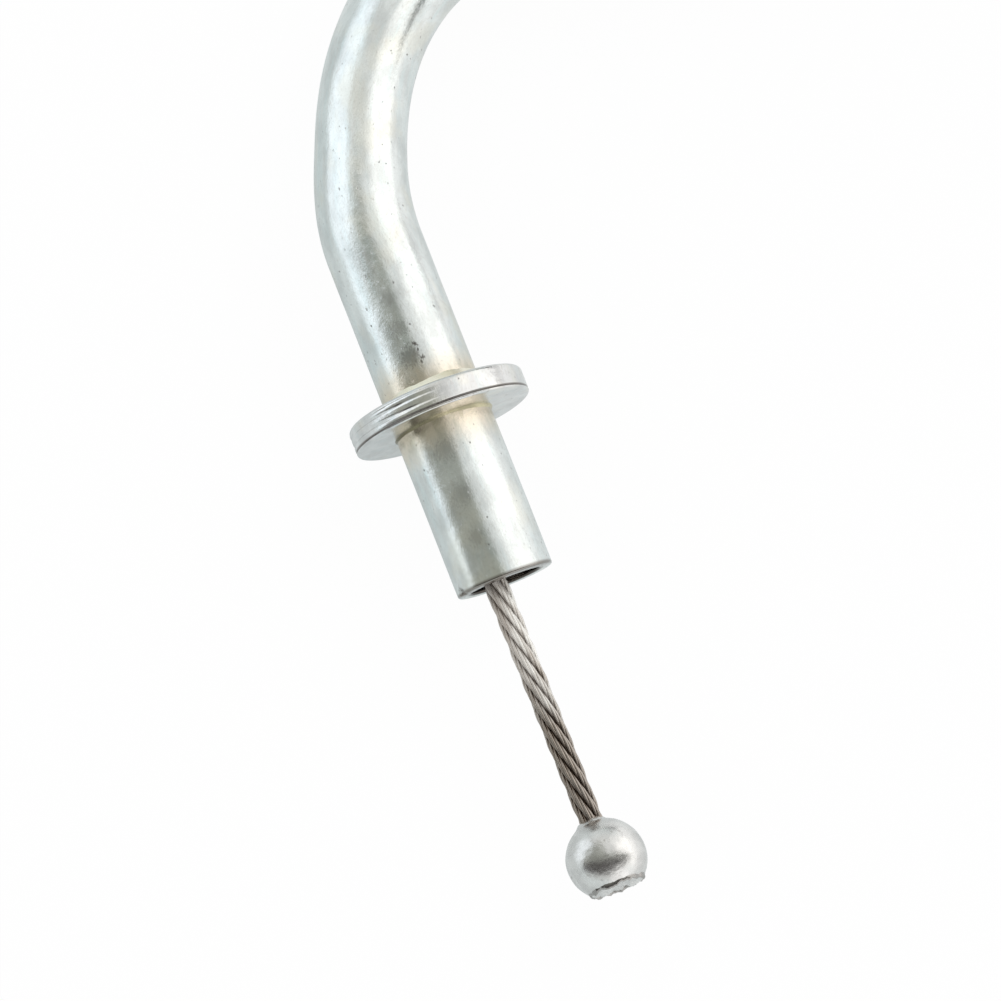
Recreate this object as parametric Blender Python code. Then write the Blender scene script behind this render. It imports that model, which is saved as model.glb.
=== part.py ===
"""Throttle cable of a small farm quad, lying flat with its casing coiled and tied.

The lever end is an elbow tube with a flange, and an inner wire that ends in a ball.
The carburettor end is a threaded adjuster with two lock nuts, and the wire ends in a barrel.
Metres, +Z up, on the surface z = 0. The nose of the elbow points along -Y.
Places are worked out with the nose on x = 0 and the flange seat on y = 0, and one
empty then moves everything so that the origin is below the middle of the lever end.
"""

from math import cos, pi, radians, sin, sqrt, tau

import bpy
import bmesh
from mathutils import Vector

MM = 0.001

# Clearances
SEAT_GAP = 0.3 * MM         # between two pieces that touch
SLIDE_GAP = 0.45 * MM       # around a wire or a nut that moves along
STOP_GAP = 0.45 * MM        # left at the ends of a travel

# Elbow tube
TUBE_OD = 6.0 * MM
TUBE_WALL = 0.8 * MM
NOSE_LENGTH = 10.0 * MM
STRAIGHT_LENGTH = 9.8 * MM  # from the flange to the bend
BEND_RADIUS = 16.0 * MM
STUB_LENGTH = 9.0 * MM      # from the bend to the tube's end in the ferrule
FLATTENING = 0.5 * MM       # the outer wall of the bend is pulled in by this much
FLATTENING_RUN = radians(25)
LIP_ROUND = 0.25 * MM

# Flange
FLANGE_OD = 11.0 * MM
FLANGE_THICKNESS = 1.6 * MM
FLANGE_ROUND = 0.3 * MM

# Inner wire and its ball
WIRE_OD = 1.5 * MM
WIRE_OFFSET = 0.6 * MM      # the wire lies towards the outer wall of the bend
WIRE_EXPOSED = 15.45 * MM   # from the mouth of the nose to the ball
PULL_TRAVEL = 9.0 * MM
PUSH_TRAVEL = 15.0 * MM
BALL_OD = 5.0 * MM
BALL_FLAT = 1.94 * MM       # from the ball's centre to the broken sprue
BALL_HOLE_RIM = 0.1 * MM    # flat metal around the wire's hole
SPRUE_RADIUS = 1.85 * MM
WIRE_IN_BALL = 2.0 * MM

# Ferrule and boot between the elbow tube and the casing
CASING_OD = 5.0 * MM
FERRULE_WALL = 0.5 * MM
FERRULE_ON_TUBE = 5.0 * MM
FERRULE_ON_CASING = 8.7 * MM
BOOT_START = 7.0 * MM       # from the bend's end
BOOT_LENGTH = 20.0 * MM
BOOT_WALL = 0.9 * MM
BOOT_ROUND = 0.5 * MM
BOOT_COLLAR_OD = 11.0 * MM
BOOT_COLLAR_LENGTH = 4.0 * MM
BOOT_SHOULDER = 1.0 * MM    # plain stretch between the collar and the taper
BOOT_TIP_OD = 7.2 * MM
BOOT_GROOVES = 3
GROOVE_WIDTH = 1.0 * MM
GROOVE_DEPTH = 0.45 * MM
GROOVE_PITCH = 4.0 * MM
GROOVE_START = 2.0 * MM     # from the shoulder to the first groove

# Coil of casing
COIL_RADIUS = 25.0 * MM     # to the middle of the bundle
COIL_RISE = 21.6 * MM       # from the casing's line at the boot to the coil's centre
RUN_TO_COIL = 8.0 * MM      # of casing between the boot and the coil
RUN_FROM_COIL = 5.0 * MM    # of casing between the coil and the end cap
TURN_PITCH = 5.1 * MM       # between turns side by side
LAYER_PITCH = 5.05 * MM     # between turns on top of each other
COIL_LAYERS = 2
COIL_IN_ANGLE = radians(-120)
COIL_OUT_ANGLE = radians(90)
WHOLE_TURNS = 3
COIL_CORNER = 2.2 * MM

# Ties around the coil
TIE_COUNT = 3
TIE_FIRST_ANGLE = radians(15)
TIE_THICKNESS = 0.5 * MM
TIE_WIDTH = 2.5 * MM
TIE_HEAD = Vector((4.4, 3.6, 3.2)) * MM  # across the coil, along it, and high
TIE_HEAD_BEVEL = 0.4 * MM

# Carburettor end
CAP_WALL = 0.5 * MM
CAP_LENGTH = 9.0 * MM
CAP_END = 2.4 * MM          # thickness of its closed end
ADJUSTER_HEAD_LENGTH = 9.0 * MM
ADJUSTER_HEAD_FLATS = 9.0 * MM
ADJUSTER_SOCKET_DEPTH = 6.0 * MM
ADJUSTER_BORE = 2.4 * MM
ADJUSTER_CHAMFER = 0.4 * MM
THREAD_OD = 6.0 * MM
THREAD_LENGTH = 26.5 * MM
THREAD_PITCH = 1.0 * MM
NUT_FLATS = 10.0 * MM
NUT_HEIGHT = 5.0 * MM
NUT_CHAMFER = 0.5 * MM
NUT_FACE_INSET = 0.2 * MM   # of the round face inside the flats
NUT_TRAVEL = THREAD_PITCH   # one turn each way
WASHER_OD = 12.0 * MM
WASHER_THICKNESS = 1.6 * MM
WASHER_ROUND = 0.15 * MM
BRACKET_GAP = 3.5 * MM
SLEEVE_OVERLAP = 4.0 * MM   # of the rubber sleeve on the thread
SLEEVE_LENGTH = 10.0 * MM
SLEEVE_OD = 8.6 * MM
SLEEVE_TIP_OD = 4.4 * MM
SLEEVE_ROUND = 0.4 * MM
SLEEVE_FOLDS = 2
FOLD_WIDTH = 1.2 * MM
FOLD_DEPTH = 0.6 * MM
BARREL_OD = 4.0 * MM
BARREL_LENGTH = 5.0 * MM
BARREL_ROUND = 0.4 * MM

# Facets
FLANGE_SIDES = 48
TUBE_SIDES = 32
SMALL_SIDES = 24
WIRE_SIDES = 12
COIL_SIDES = 60
BEND_STEPS = 15
BALL_STEPS = 12
EDGE_STEPS = 3
ROUTE_STEPS = 24            # read from the smooth curve between two points of a route
CREASE = radians(35)

# The lever end: heights and places that follow from the sizes
AXIS_HEIGHT = FLANGE_OD / 2
BEND_START = FLANGE_THICKNESS + STRAIGHT_LENGTH
BEND_FROM = NOSE_LENGTH + BEND_START            # along the tube from its mouth
BEND_RUN = BEND_RADIUS * pi / 2
CASING_LINE = BEND_START + BEND_RADIUS          # y of the casing as it leaves the elbow
TUBE_END = BEND_RADIUS + STUB_LENGTH            # x of the tube's end
CASING_START = TUBE_END + SEAT_GAP
BOOT_END = BEND_RADIUS + BOOT_START + BOOT_LENGTH
BALL_CENTRE = -(NOSE_LENGTH + WIRE_EXPOSED + BALL_OD / 2)
FERRULE_BIG_RADIUS = TUBE_OD / 2 + SEAT_GAP + FERRULE_WALL
FERRULE_SMALL_RADIUS = CASING_OD / 2 + SEAT_GAP + FERRULE_WALL

# The coil
COIL_TURNS = WHOLE_TURNS + (COIL_OUT_ANGLE - COIL_IN_ANGLE) / tau
BUNDLE_SPAN = COIL_TURNS / COIL_LAYERS * TURN_PITCH
COIL_OUTER_LINE = COIL_RADIUS + BUNDLE_SPAN / 2
COIL_INNER_LINE = COIL_RADIUS - BUNDLE_SPAN / 2
COIL_EDGE = COIL_OUTER_LINE + CASING_OD / 2
COIL_FLOOR = TIE_THICKNESS + SEAT_GAP
COIL_TOP = TIE_THICKNESS + CASING_OD + (COIL_LAYERS - 1) * LAYER_PITCH
COIL_CENTRE = Vector((
    BOOT_END + RUN_TO_COIL + sqrt(COIL_EDGE ** 2 - (COIL_RISE - CASING_OD / 2) ** 2),
    CASING_LINE + COIL_RISE,
    0,
))

# The carburettor end, from its cap's mouth along -X
FITTING_LINE = COIL_CENTRE.y + COIL_OUTER_LINE  # y of its axis
FITTING_HEIGHT = WASHER_OD / 2
COIL_LEFT = COIL_CENTRE.x - sqrt(
    (COIL_EDGE + SEAT_GAP) ** 2 - (COIL_OUTER_LINE - CASING_OD / 2) ** 2
)                                               # x where the casing is clear of the coil
FITTING_START = COIL_LEFT - RUN_FROM_COIL
HEAD_START = CAP_LENGTH + SEAT_GAP - ADJUSTER_SOCKET_DEPTH
THREAD_START = HEAD_START + ADJUSTER_HEAD_LENGTH
SLEEVE_START = THREAD_START + THREAD_LENGTH - SLEEVE_OVERLAP
SLEEVE_END = SLEEVE_START + SLEEVE_LENGTH
NUT_STACK = 2 * (NUT_HEIGHT + SEAT_GAP + WASHER_THICKNESS) + BRACKET_GAP
INNER_NUT = (THREAD_START + SLEEVE_START - NUT_STACK) / 2
INNER_WASHER = INNER_NUT + NUT_HEIGHT + SEAT_GAP
OUTER_WASHER = INNER_WASHER + WASHER_THICKNESS + BRACKET_GAP
OUTER_NUT = OUTER_WASHER + WASHER_THICKNESS + SEAT_GAP

ORIGIN = Vector((
    (BOOT_END - FLANGE_OD / 2) / 2,
    (CASING_LINE + BOOT_COLLAR_OD / 2 + BALL_CENTRE - BALL_FLAT) / 2,
    0,
))

ALONG_NOSE = Vector((0, -1, 0))
ALONG_CASING = Vector((1, 0, 0))
ALONG_FITTING = Vector((-1, 0, 0))
UP = Vector((0, 0, 1))


def clear_scene():
    for old in list(bpy.data.objects):
        bpy.data.objects.remove(old, do_unlink=True)


def material(name, colour, roughness, metallic):
    made = bpy.data.materials.new(name)
    made.use_nodes = True
    shader = made.node_tree.nodes["Principled BSDF"]
    shader.inputs["Base Color"].default_value = (*colour, 1)
    shader.inputs["Roughness"].default_value = roughness
    shader.inputs["Metallic"].default_value = metallic
    return made


def empty(name, location, parent=None):
    made = bpy.data.objects.new(name, None)
    made.location = location
    made.parent = parent
    made.empty_display_size = 5 * MM
    bpy.context.collection.objects.link(made)
    return made


def link(name, data, location, direction, look, parent):
    """A named object whose local Z points along direction."""
    made = bpy.data.objects.new(name, data)
    made.location = location
    made.rotation_euler = UP.rotation_difference(direction).to_euler()
    made.parent = parent
    data.materials.append(look)
    bpy.context.collection.objects.link(made)
    return made


def skin(bm, ring, following):
    """Faces between two rings, either of which may be a single point."""
    count = max(len(ring), len(following))
    for k in range(count):
        after = (k + 1) % count
        corners = [
            ring[k % len(ring)],
            ring[after % len(ring)],
            following[after % len(following)],
            following[k % len(following)],
        ]
        bm.faces.new(list(dict.fromkeys(corners)))


def loft(rings, closed):
    """A mesh through rings of points. A closed one also joins its last ring to its first."""
    bm = bmesh.new()
    made = [[bm.verts.new(point) for point in ring] for ring in rings]
    for ring, following in zip(made, made[1:] + made[:1] if closed else made[1:]):
        skin(bm, ring, following)
    bmesh.ops.recalc_face_normals(bm, faces=bm.faces)
    mesh = bpy.data.meshes.new("loft")
    bm.to_mesh(mesh)
    bm.free()
    mesh.shade_smooth()
    mesh.set_sharp_from_angle(angle=CREASE)
    return mesh


def turned(profile, sides, flats=None):
    """A mesh turned about local Z from (along, radius) points.

    A profile that keeps off the axis has a bore and closes on itself.
    With flats, what would be wider than that hexagon is cut to it.
    """
    rings = []
    for along, radius in profile:
        if radius == 0:
            rings.append([Vector((0, 0, along))])
            continue
        ring = []
        for k in range(sides):
            angle = tau * k / sides
            reach = radius
            if flats:
                reach = min(radius, flats / 2 / cos((angle % (pi / 3)) - pi / 6))
            ring.append(Vector((reach * cos(angle), reach * sin(angle), along)))
        rings.append(ring)
    return loft(rings, closed=all(radius > 0 for _, radius in profile))


def arc(centre_along, centre_radius, size, start, end):
    """(along, radius) points of an arc. Angle 0 points along the axis, 90 degrees away from it."""
    points = []
    for k in range(EDGE_STEPS + 1):
        angle = radians(start + (end - start) * k / EDGE_STEPS)
        points.append((centre_along + size * cos(angle), centre_radius + size * sin(angle)))
    return points


def first_edge(along, outer, rounding):
    """The rounded outer edge that a profile meets first."""
    return arc(along + rounding, outer - rounding, rounding, 180, 90)


def last_edge(along, outer, rounding):
    """The rounded outer edge that a profile leaves by."""
    return arc(along - rounding, outer - rounding, rounding, 90, 0)


def ring_profile(length, inner, outer, rounding):
    """A plain ring with rounded outer edges."""
    return [
        (0, inner),
        *first_edge(0, outer, rounding),
        *last_edge(length, outer, rounding),
        (length, inner),
    ]


def rod(length):
    """A stretch of the inner wire along local Z."""
    radius = WIRE_OD / 2
    return turned([(0, 0), (0, radius), (length, radius), (length, 0)], WIRE_SIDES)


def elbow_point(along, inset, angle):
    """A point of the elbow tube's wall: along its line, below its outer surface, around it."""
    turn = min(max((along - BEND_FROM) / BEND_RADIUS, 0), pi / 2)
    past = max(along - BEND_FROM - BEND_RUN, 0)
    inward = Vector((cos(turn), -sin(turn), 0))
    forward = Vector((sin(turn), cos(turn), 0))
    centre = Vector((BEND_RADIUS, BEND_START, AXIS_HEIGHT)) - inward * BEND_RADIUS
    if along < BEND_FROM:
        centre = Vector((0, along - NOSE_LENGTH, AXIS_HEIGHT))
    eased = min(min(turn, pi / 2 - turn) / FLATTENING_RUN, 1)
    flat = FLATTENING * eased * eased * (3 - 2 * eased)
    across = TUBE_OD / 2 - flat / 2 - inset
    high = TUBE_OD / 2 + flat / 6 - inset
    centre += forward * past + inward * flat / 2
    return centre + inward * across * cos(angle) + UP * high * sin(angle)


def elbow_tube(look, parent):
    length = BEND_FROM + BEND_RUN + STUB_LENGTH
    bend = [BEND_FROM + BEND_RUN * k / BEND_STEPS for k in range(BEND_STEPS + 1)]
    lip = []
    for k in range(EDGE_STEPS + 1):
        angle = pi / 2 * k / EDGE_STEPS
        lip.append((LIP_ROUND * (1 - cos(angle)), LIP_ROUND * (1 - sin(angle))))
    profile = [
        (0, TUBE_WALL - LIP_ROUND),
        *lip,
        *((along, 0) for along in bend),
        (length, 0),
        (length, TUBE_WALL),
        *((along, TUBE_WALL) for along in reversed(bend)),
        (LIP_ROUND, TUBE_WALL),
    ]
    rings = [
        [elbow_point(along, inset, tau * k / TUBE_SIDES) for k in range(TUBE_SIDES)]
        for along, inset in profile
    ]
    return link("elbow_tube", loft(rings, closed=True), (0, 0, 0), UP, look, parent)


def flange_washer(look, parent):
    profile = ring_profile(FLANGE_THICKNESS, TUBE_OD / 2 + SEAT_GAP, FLANGE_OD / 2, FLANGE_ROUND)
    mesh = turned(profile, FLANGE_SIDES)
    return link("flange_washer", mesh, (0, 0, AXIS_HEIGHT), -ALONG_NOSE, look, parent)


def ball_profile():
    """From the wire's hole over the ball to the sprue's broken face, along the wire."""
    radius = BALL_OD / 2
    hole = WIRE_OD / 2 + SEAT_GAP
    floor_of_hole = WIRE_IN_BALL + SEAT_GAP
    rim_height = sqrt(radius ** 2 - (hole + BALL_HOLE_RIM) ** 2)
    sprue_height = sqrt(radius ** 2 - SPRUE_RADIUS ** 2)
    points = [(floor_of_hole, 0), (floor_of_hole, hole), (radius - rim_height, hole)]
    for k in range(BALL_STEPS + 1):
        height = rim_height - (rim_height + sprue_height) * k / BALL_STEPS
        points.append((radius - height, sqrt(radius ** 2 - height ** 2)))
    points += [(radius + BALL_FLAT, SPRUE_RADIUS), (radius + BALL_FLAT, 0)]
    return points


def lever_wire(look_wire, look_ball, parent):
    """The wire's stretch that slides in the nose, and the ball cast on its end."""
    mouth = Vector((-WIRE_OFFSET, -NOSE_LENGTH, AXIS_HEIGHT))
    slide = empty("ball_slide_axis", mouth, parent)
    tail = PULL_TRAVEL + 3 * STOP_GAP
    wire = rod(tail + WIRE_EXPOSED + WIRE_IN_BALL)
    link("lever_wire", wire, -ALONG_NOSE * tail, ALONG_NOSE, look_wire, slide)
    ball = turned(ball_profile(), SMALL_SIDES)
    link("ball_nipple", ball, ALONG_NOSE * WIRE_EXPOSED, ALONG_NOSE, look_ball, slide)


def elbow_ferrule(look, parent):
    """A stepped sleeve crimped on the tube's end and on the casing."""
    on_tube = TUBE_OD / 2 + SEAT_GAP
    on_casing = CASING_OD / 2 + SEAT_GAP
    step = FERRULE_ON_TUBE + SEAT_GAP / 2
    end = FERRULE_ON_TUBE + FERRULE_ON_CASING
    profile = [
        (0, on_tube),
        (0, FERRULE_BIG_RADIUS),
        (step, FERRULE_BIG_RADIUS),
        (step + 2 * FERRULE_WALL, FERRULE_SMALL_RADIUS),
        (end, FERRULE_SMALL_RADIUS),
        (end, on_casing),
        (step, on_casing),
        (step, on_tube),
    ]
    place = (TUBE_END - FERRULE_ON_TUBE, CASING_LINE, AXIS_HEIGHT)
    return link("elbow_ferrule", turned(profile, TUBE_SIDES), place, ALONG_CASING, look, parent)


def elbow_boot(look, parent):
    """A rubber boot over the ferrule, with a collar and flex grooves in its taper."""
    start = BEND_RADIUS + BOOT_START
    step = TUBE_END + 2 * FERRULE_WALL + SEAT_GAP - start
    ferrule_end = TUBE_END + FERRULE_ON_CASING + SEAT_GAP - start
    on_ferrule = FERRULE_BIG_RADIUS + SEAT_GAP
    on_neck = FERRULE_SMALL_RADIUS + SEAT_GAP
    on_casing = CASING_OD / 2 + SEAT_GAP
    body = on_ferrule + BOOT_WALL
    tip = BOOT_TIP_OD / 2
    taper_from = BOOT_COLLAR_LENGTH + BOOT_SHOULDER

    def taper(along):
        return body + (tip - body) * (along - taper_from) / (BOOT_LENGTH - taper_from)

    outside = [
        *first_edge(0, BOOT_COLLAR_OD / 2, BOOT_ROUND),
        *last_edge(BOOT_COLLAR_LENGTH, BOOT_COLLAR_OD / 2, BOOT_ROUND),
        (BOOT_COLLAR_LENGTH, body),
        (taper_from, body),
    ]
    for k in range(BOOT_GROOVES):
        groove = taper_from + GROOVE_START + k * GROOVE_PITCH
        outside += [
            (groove, taper(groove)),
            (groove + GROOVE_WIDTH * 0.3, taper(groove) - GROOVE_DEPTH),
            (groove + GROOVE_WIDTH * 0.7, taper(groove) - GROOVE_DEPTH),
            (groove + GROOVE_WIDTH, taper(groove + GROOVE_WIDTH)),
        ]
    outside += last_edge(BOOT_LENGTH, tip, BOOT_ROUND)
    inside = [
        (BOOT_LENGTH, on_casing),
        (ferrule_end, on_casing),
        (ferrule_end, on_neck),
        (step, on_neck),
        (step, on_ferrule),
        (0, on_ferrule),
    ]
    place = (start, CASING_LINE, AXIS_HEIGHT)
    mesh = turned(outside + inside, SMALL_SIDES)
    return link("elbow_boot", mesh, place, ALONG_CASING, look, parent)


def smooth_line(route, spacing):
    """Points at even steps of about the spacing on a smooth curve through the route."""
    fine = []
    padded = [2 * route[0] - route[1], *route, 2 * route[-1] - route[-2]]
    for a, b, c, d in zip(padded, padded[1:], padded[2:], padded[3:]):
        for k in range(ROUTE_STEPS):
            t = k / ROUTE_STEPS
            straight = 2 * b + (c - a) * t
            bend = (2 * a - 5 * b + 4 * c - d) * t ** 2 + (3 * b - a - 3 * c + d) * t ** 3
            fine.append((straight + bend) / 2)
    fine.append(route[-1])
    lengths = [0]
    for before, point in zip(fine, fine[1:]):
        lengths.append(lengths[-1] + (point - before).length)
    count = max(round(lengths[-1] / spacing), 2)
    points = []
    at = 0
    for k in range(count + 1):
        wanted = lengths[-1] * k / count
        while at < len(fine) - 2 and lengths[at + 1] < wanted:
            at += 1
        share = (wanted - lengths[at]) / (lengths[at + 1] - lengths[at])
        points.append(fine[at].lerp(fine[at + 1], min(max(share, 0), 1)))
    return points


def cord(name, route, look, parent):
    """A plain tube of casing along the route."""
    points = smooth_line(route, 2 * CASING_OD)
    curve = bpy.data.curves.new(name, "CURVE")
    curve.dimensions = "3D"
    curve.bevel_depth = CASING_OD / 2
    curve.bevel_resolution = 3
    curve.use_fill_caps = True
    spline = curve.splines.new("POLY")
    spline.points.add(len(points) - 1)
    for point, place in zip(spline.points, points):
        point.co = (*place, 1)
    return link(name, curve, (0, 0, 0), UP, look, parent)


def casing_lever_run(look, parent):
    """From the ferrule, out of the boot, and down to the coil's first layer."""
    route = [
        Vector((CASING_START, CASING_LINE, AXIS_HEIGHT)),
        Vector(((CASING_START + BOOT_END) / 2, CASING_LINE, AXIS_HEIGHT)),
        Vector((BOOT_END, CASING_LINE, AXIS_HEIGHT)),
        Vector((BOOT_END + RUN_TO_COIL / 2, CASING_LINE - 0.05 * MM, AXIS_HEIGHT - 0.3 * MM)),
        Vector((BOOT_END + RUN_TO_COIL - SEAT_GAP, CASING_LINE - 0.2 * MM, AXIS_HEIGHT - 0.8 * MM)),
    ]
    return cord("casing_lever_run", route, look, parent)


def casing_carb_run(look, parent):
    """From the coil's top layer to the end cap of the adjuster."""
    mouth = fitting_place(0)
    end = fitting_place(CAP_LENGTH - CAP_END - SEAT_GAP)
    route = [
        Vector((COIL_LEFT, FITTING_LINE, FITTING_HEIGHT + 1.1 * MM)),
        Vector((mouth.x, FITTING_LINE, FITTING_HEIGHT + 0.3 * MM)),
        Vector((mouth.x - 3.5 * MM, FITTING_LINE, FITTING_HEIGHT)),
        end,
    ]
    return cord("casing_carb_run", route, look, parent)


def bundle_outline(margin):
    """(radius, height) points around the bundle of turns, grown by the margin."""
    inner = COIL_INNER_LINE - CASING_OD / 2 - margin
    outer = COIL_EDGE + margin
    low = COIL_FLOOR - margin
    high = COIL_TOP + margin
    corner = COIL_CORNER + margin
    corners = [
        (outer - corner, high - corner, 0),
        (inner + corner, high - corner, 90),
        (inner + corner, low + corner, 180),
        (outer - corner, low + corner, 270),
    ]
    points = []
    for across, upright, start in corners:
        points += arc(across, upright, corner, start, start + 90)
    return points


def casing_coil(look, parent):
    profile = [(height, radius) for radius, height in bundle_outline(0)]
    return link("casing_coil", turned(profile, COIL_SIDES), COIL_CENTRE, UP, look, parent)


def tie_lock(name, look, strap):
    """The block of a tie's lock, which the strap is joined with."""
    mesh = bpy.data.meshes.new(name)
    bm = bmesh.new()
    bmesh.ops.create_cube(bm, size=1)
    bmesh.ops.scale(bm, vec=TIE_HEAD, verts=bm.verts)
    bmesh.ops.bevel(bm, geom=bm.edges[:], offset=TIE_HEAD_BEVEL, segments=1, affect="EDGES")
    bm.to_mesh(mesh)
    bm.free()
    bottom = COIL_TOP + SEAT_GAP + TIE_THICKNESS / 2
    lock = link(name, mesh, (COIL_RADIUS, 0, bottom + TIE_HEAD.z / 2), UP, look, strap)
    lock.hide_render = True
    lock.display_type = "WIRE"
    return lock


def coil_tie(name, angle, look, parent):
    """A flat strap around the bundle, with its lock on top."""
    inner = bundle_outline(SEAT_GAP)
    outer = bundle_outline(SEAT_GAP + TIE_THICKNESS)
    half = TIE_WIDTH / 2
    loops = []
    for outline, side in ((inner, -half), (outer, -half), (outer, half), (inner, half)):
        loops.append([Vector((radius, side, height)) for radius, height in outline])
    strap = link(name, loft(loops, closed=True), COIL_CENTRE, UP, look, parent)
    strap.rotation_euler = (0, 0, angle)
    joined = strap.modifiers.new("lock", "BOOLEAN")
    joined.operation = "UNION"
    joined.object = tie_lock(name + "_lock", look, strap)
    return strap


def fitting_place(along):
    """A place on the axis of the carburettor end."""
    return Vector((FITTING_START, FITTING_LINE, FITTING_HEIGHT)) + ALONG_FITTING * along


def casing_cap(look, parent):
    """The cup crimped on the casing's end."""
    inner = CASING_OD / 2 + SEAT_GAP
    outer = inner + CAP_WALL
    hole = ADJUSTER_BORE / 2
    floor = CAP_LENGTH - CAP_END
    profile = [
        (0, inner),
        (0, outer),
        *last_edge(CAP_LENGTH, outer, CAP_WALL),
        (CAP_LENGTH, hole),
        (floor, hole),
        (floor, inner),
    ]
    mesh = turned(profile, SMALL_SIDES)
    return link("casing_cap", mesh, fitting_place(0), ALONG_FITTING, look, parent)


def adjuster_screw(look, parent):
    """A hollow screw whose hexagon head holds the casing's cap."""
    socket = CASING_OD / 2 + SEAT_GAP + CAP_WALL + SEAT_GAP
    corner = ADJUSTER_HEAD_FLATS / sqrt(3)
    face = (ADJUSTER_HEAD_FLATS - ADJUSTER_CHAMFER) / 2
    bore = ADJUSTER_BORE / 2
    end = ADJUSTER_HEAD_LENGTH + THREAD_LENGTH
    thread = THREAD_OD / 2
    profile = [
        (0, socket),
        (0, face),
        (ADJUSTER_CHAMFER, corner),
        (ADJUSTER_HEAD_LENGTH - ADJUSTER_CHAMFER, corner),
        (ADJUSTER_HEAD_LENGTH, face),
        (ADJUSTER_HEAD_LENGTH, thread),
        (end - ADJUSTER_CHAMFER, thread),
        (end, thread - ADJUSTER_CHAMFER),
        (end, bore),
        (ADJUSTER_SOCKET_DEPTH, bore),
        (ADJUSTER_SOCKET_DEPTH, socket),
    ]
    mesh = turned(profile, SMALL_SIDES, ADJUSTER_HEAD_FLATS)
    return link("adjuster_screw", mesh, fitting_place(HEAD_START), ALONG_FITTING, look, parent)


def lock_nuts(look, parent):
    """A nut and a washer on each side of the gap for the bracket. Each pair travels together."""
    bore = THREAD_OD / 2 + SLIDE_GAP
    face = NUT_FLATS / 2 - NUT_FACE_INSET
    corner = NUT_FLATS / sqrt(3)
    nut_profile = [
        (0, bore),
        (0, face),
        (NUT_CHAMFER, corner),
        (NUT_HEIGHT - NUT_CHAMFER, corner),
        (NUT_HEIGHT, face),
        (NUT_HEIGHT, bore),
    ]
    nut = turned(nut_profile, SMALL_SIDES, NUT_FLATS)
    washer_profile = ring_profile(WASHER_THICKNESS, bore, WASHER_OD / 2, WASHER_ROUND)
    washer = turned(washer_profile, SMALL_SIDES)
    for name, mesh, along in (
        ("lock_nut_inner", nut, INNER_NUT),
        ("washer_inner", washer, INNER_WASHER),
        ("washer_outer", washer, OUTER_WASHER),
        ("lock_nut_outer", nut, OUTER_NUT),
    ):
        link(name, mesh, fitting_place(along), ALONG_FITTING, look, parent)


def dust_sleeve(look, parent):
    """The rubber sleeve on the thread's end, with folds and a hole for the wire."""
    on_thread = THREAD_OD / 2 + SEAT_GAP
    hole = WIRE_OD / 2 + SLIDE_GAP
    outer = SLEEVE_OD / 2
    tip = SLEEVE_TIP_OD / 2
    wall_end = SLEEVE_OVERLAP + SEAT_GAP
    outside = first_edge(0, outer, SLEEVE_ROUND)
    for k in range(SLEEVE_FOLDS):
        at = (1 + k) * 2 * FOLD_WIDTH
        outside += [
            (at, outer),
            (at + FOLD_WIDTH / 2, outer - FOLD_DEPTH),
            (at + FOLD_WIDTH, outer),
        ]
    outside += [
        (SLEEVE_LENGTH - 2 * FOLD_WIDTH, tip + FOLD_DEPTH),
        *last_edge(SLEEVE_LENGTH, tip, SLEEVE_ROUND),
    ]
    inside = [(SLEEVE_LENGTH, hole), (wall_end, hole), (wall_end, on_thread), (0, on_thread)]
    mesh = turned(outside + inside, SMALL_SIDES)
    return link("dust_sleeve", mesh, fitting_place(SLEEVE_START), ALONG_FITTING, look, parent)


def carb_wire(look_wire, look_barrel, parent):
    """The wire's stretch that slides in the adjuster, and the barrel cast on its end."""
    slide = empty("carb_slide_axis", fitting_place(SLEEVE_END), parent)
    tail = PUSH_TRAVEL + 3 * STOP_GAP
    exposed = PULL_TRAVEL + STOP_GAP
    in_barrel = BARREL_LENGTH / 2
    wire = rod(tail + exposed + in_barrel)
    link("carb_wire", wire, -ALONG_FITTING * tail, ALONG_FITTING, look_wire, slide)
    hole = WIRE_OD / 2 + SEAT_GAP
    profile = [
        (in_barrel + SEAT_GAP, 0),
        (in_barrel + SEAT_GAP, hole),
        (0, hole),
        *first_edge(0, BARREL_OD / 2, BARREL_ROUND),
        *last_edge(BARREL_LENGTH, BARREL_OD / 2, BARREL_ROUND),
        (BARREL_LENGTH, 0),
    ]
    barrel = turned(profile, SMALL_SIDES)
    link("carb_barrel", barrel, ALONG_FITTING * exposed, ALONG_FITTING, look_barrel, slide)


def build():
    clear_scene()
    zinc_plate = material("zinc_plate", (0.66, 0.68, 0.66), 0.3, 1.0)
    cast_zinc = material("cast_zinc", (0.5, 0.51, 0.5), 0.4, 1.0)
    wire_rope = material("wire_rope", (0.42, 0.4, 0.36), 0.4, 1.0)
    black_pvc = material("black_pvc", (0.02, 0.02, 0.022), 0.45, 0.0)
    black_rubber = material("black_rubber", (0.025, 0.025, 0.025), 0.7, 0.0)
    black_nylon = material("black_nylon", (0.03, 0.03, 0.032), 0.5, 0.0)

    cable = empty("cable", -ORIGIN)
    elbow_tube(zinc_plate, cable)
    flange_washer(zinc_plate, cable)
    lever_wire(wire_rope, cast_zinc, cable)
    elbow_ferrule(zinc_plate, cable)
    elbow_boot(black_rubber, cable)
    casing_lever_run(black_pvc, cable)
    casing_coil(black_pvc, cable)
    casing_carb_run(black_pvc, cable)
    for k in range(TIE_COUNT):
        coil_tie(f"coil_tie_{k + 1}", TIE_FIRST_ANGLE + tau * k / TIE_COUNT, black_nylon, cable)
    casing_cap(zinc_plate, cable)
    adjuster_screw(zinc_plate, cable)
    lock_nuts(zinc_plate, cable)
    dust_sleeve(black_rubber, cable)
    carb_wire(wire_rope, cast_zinc, cable)


build()
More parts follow.
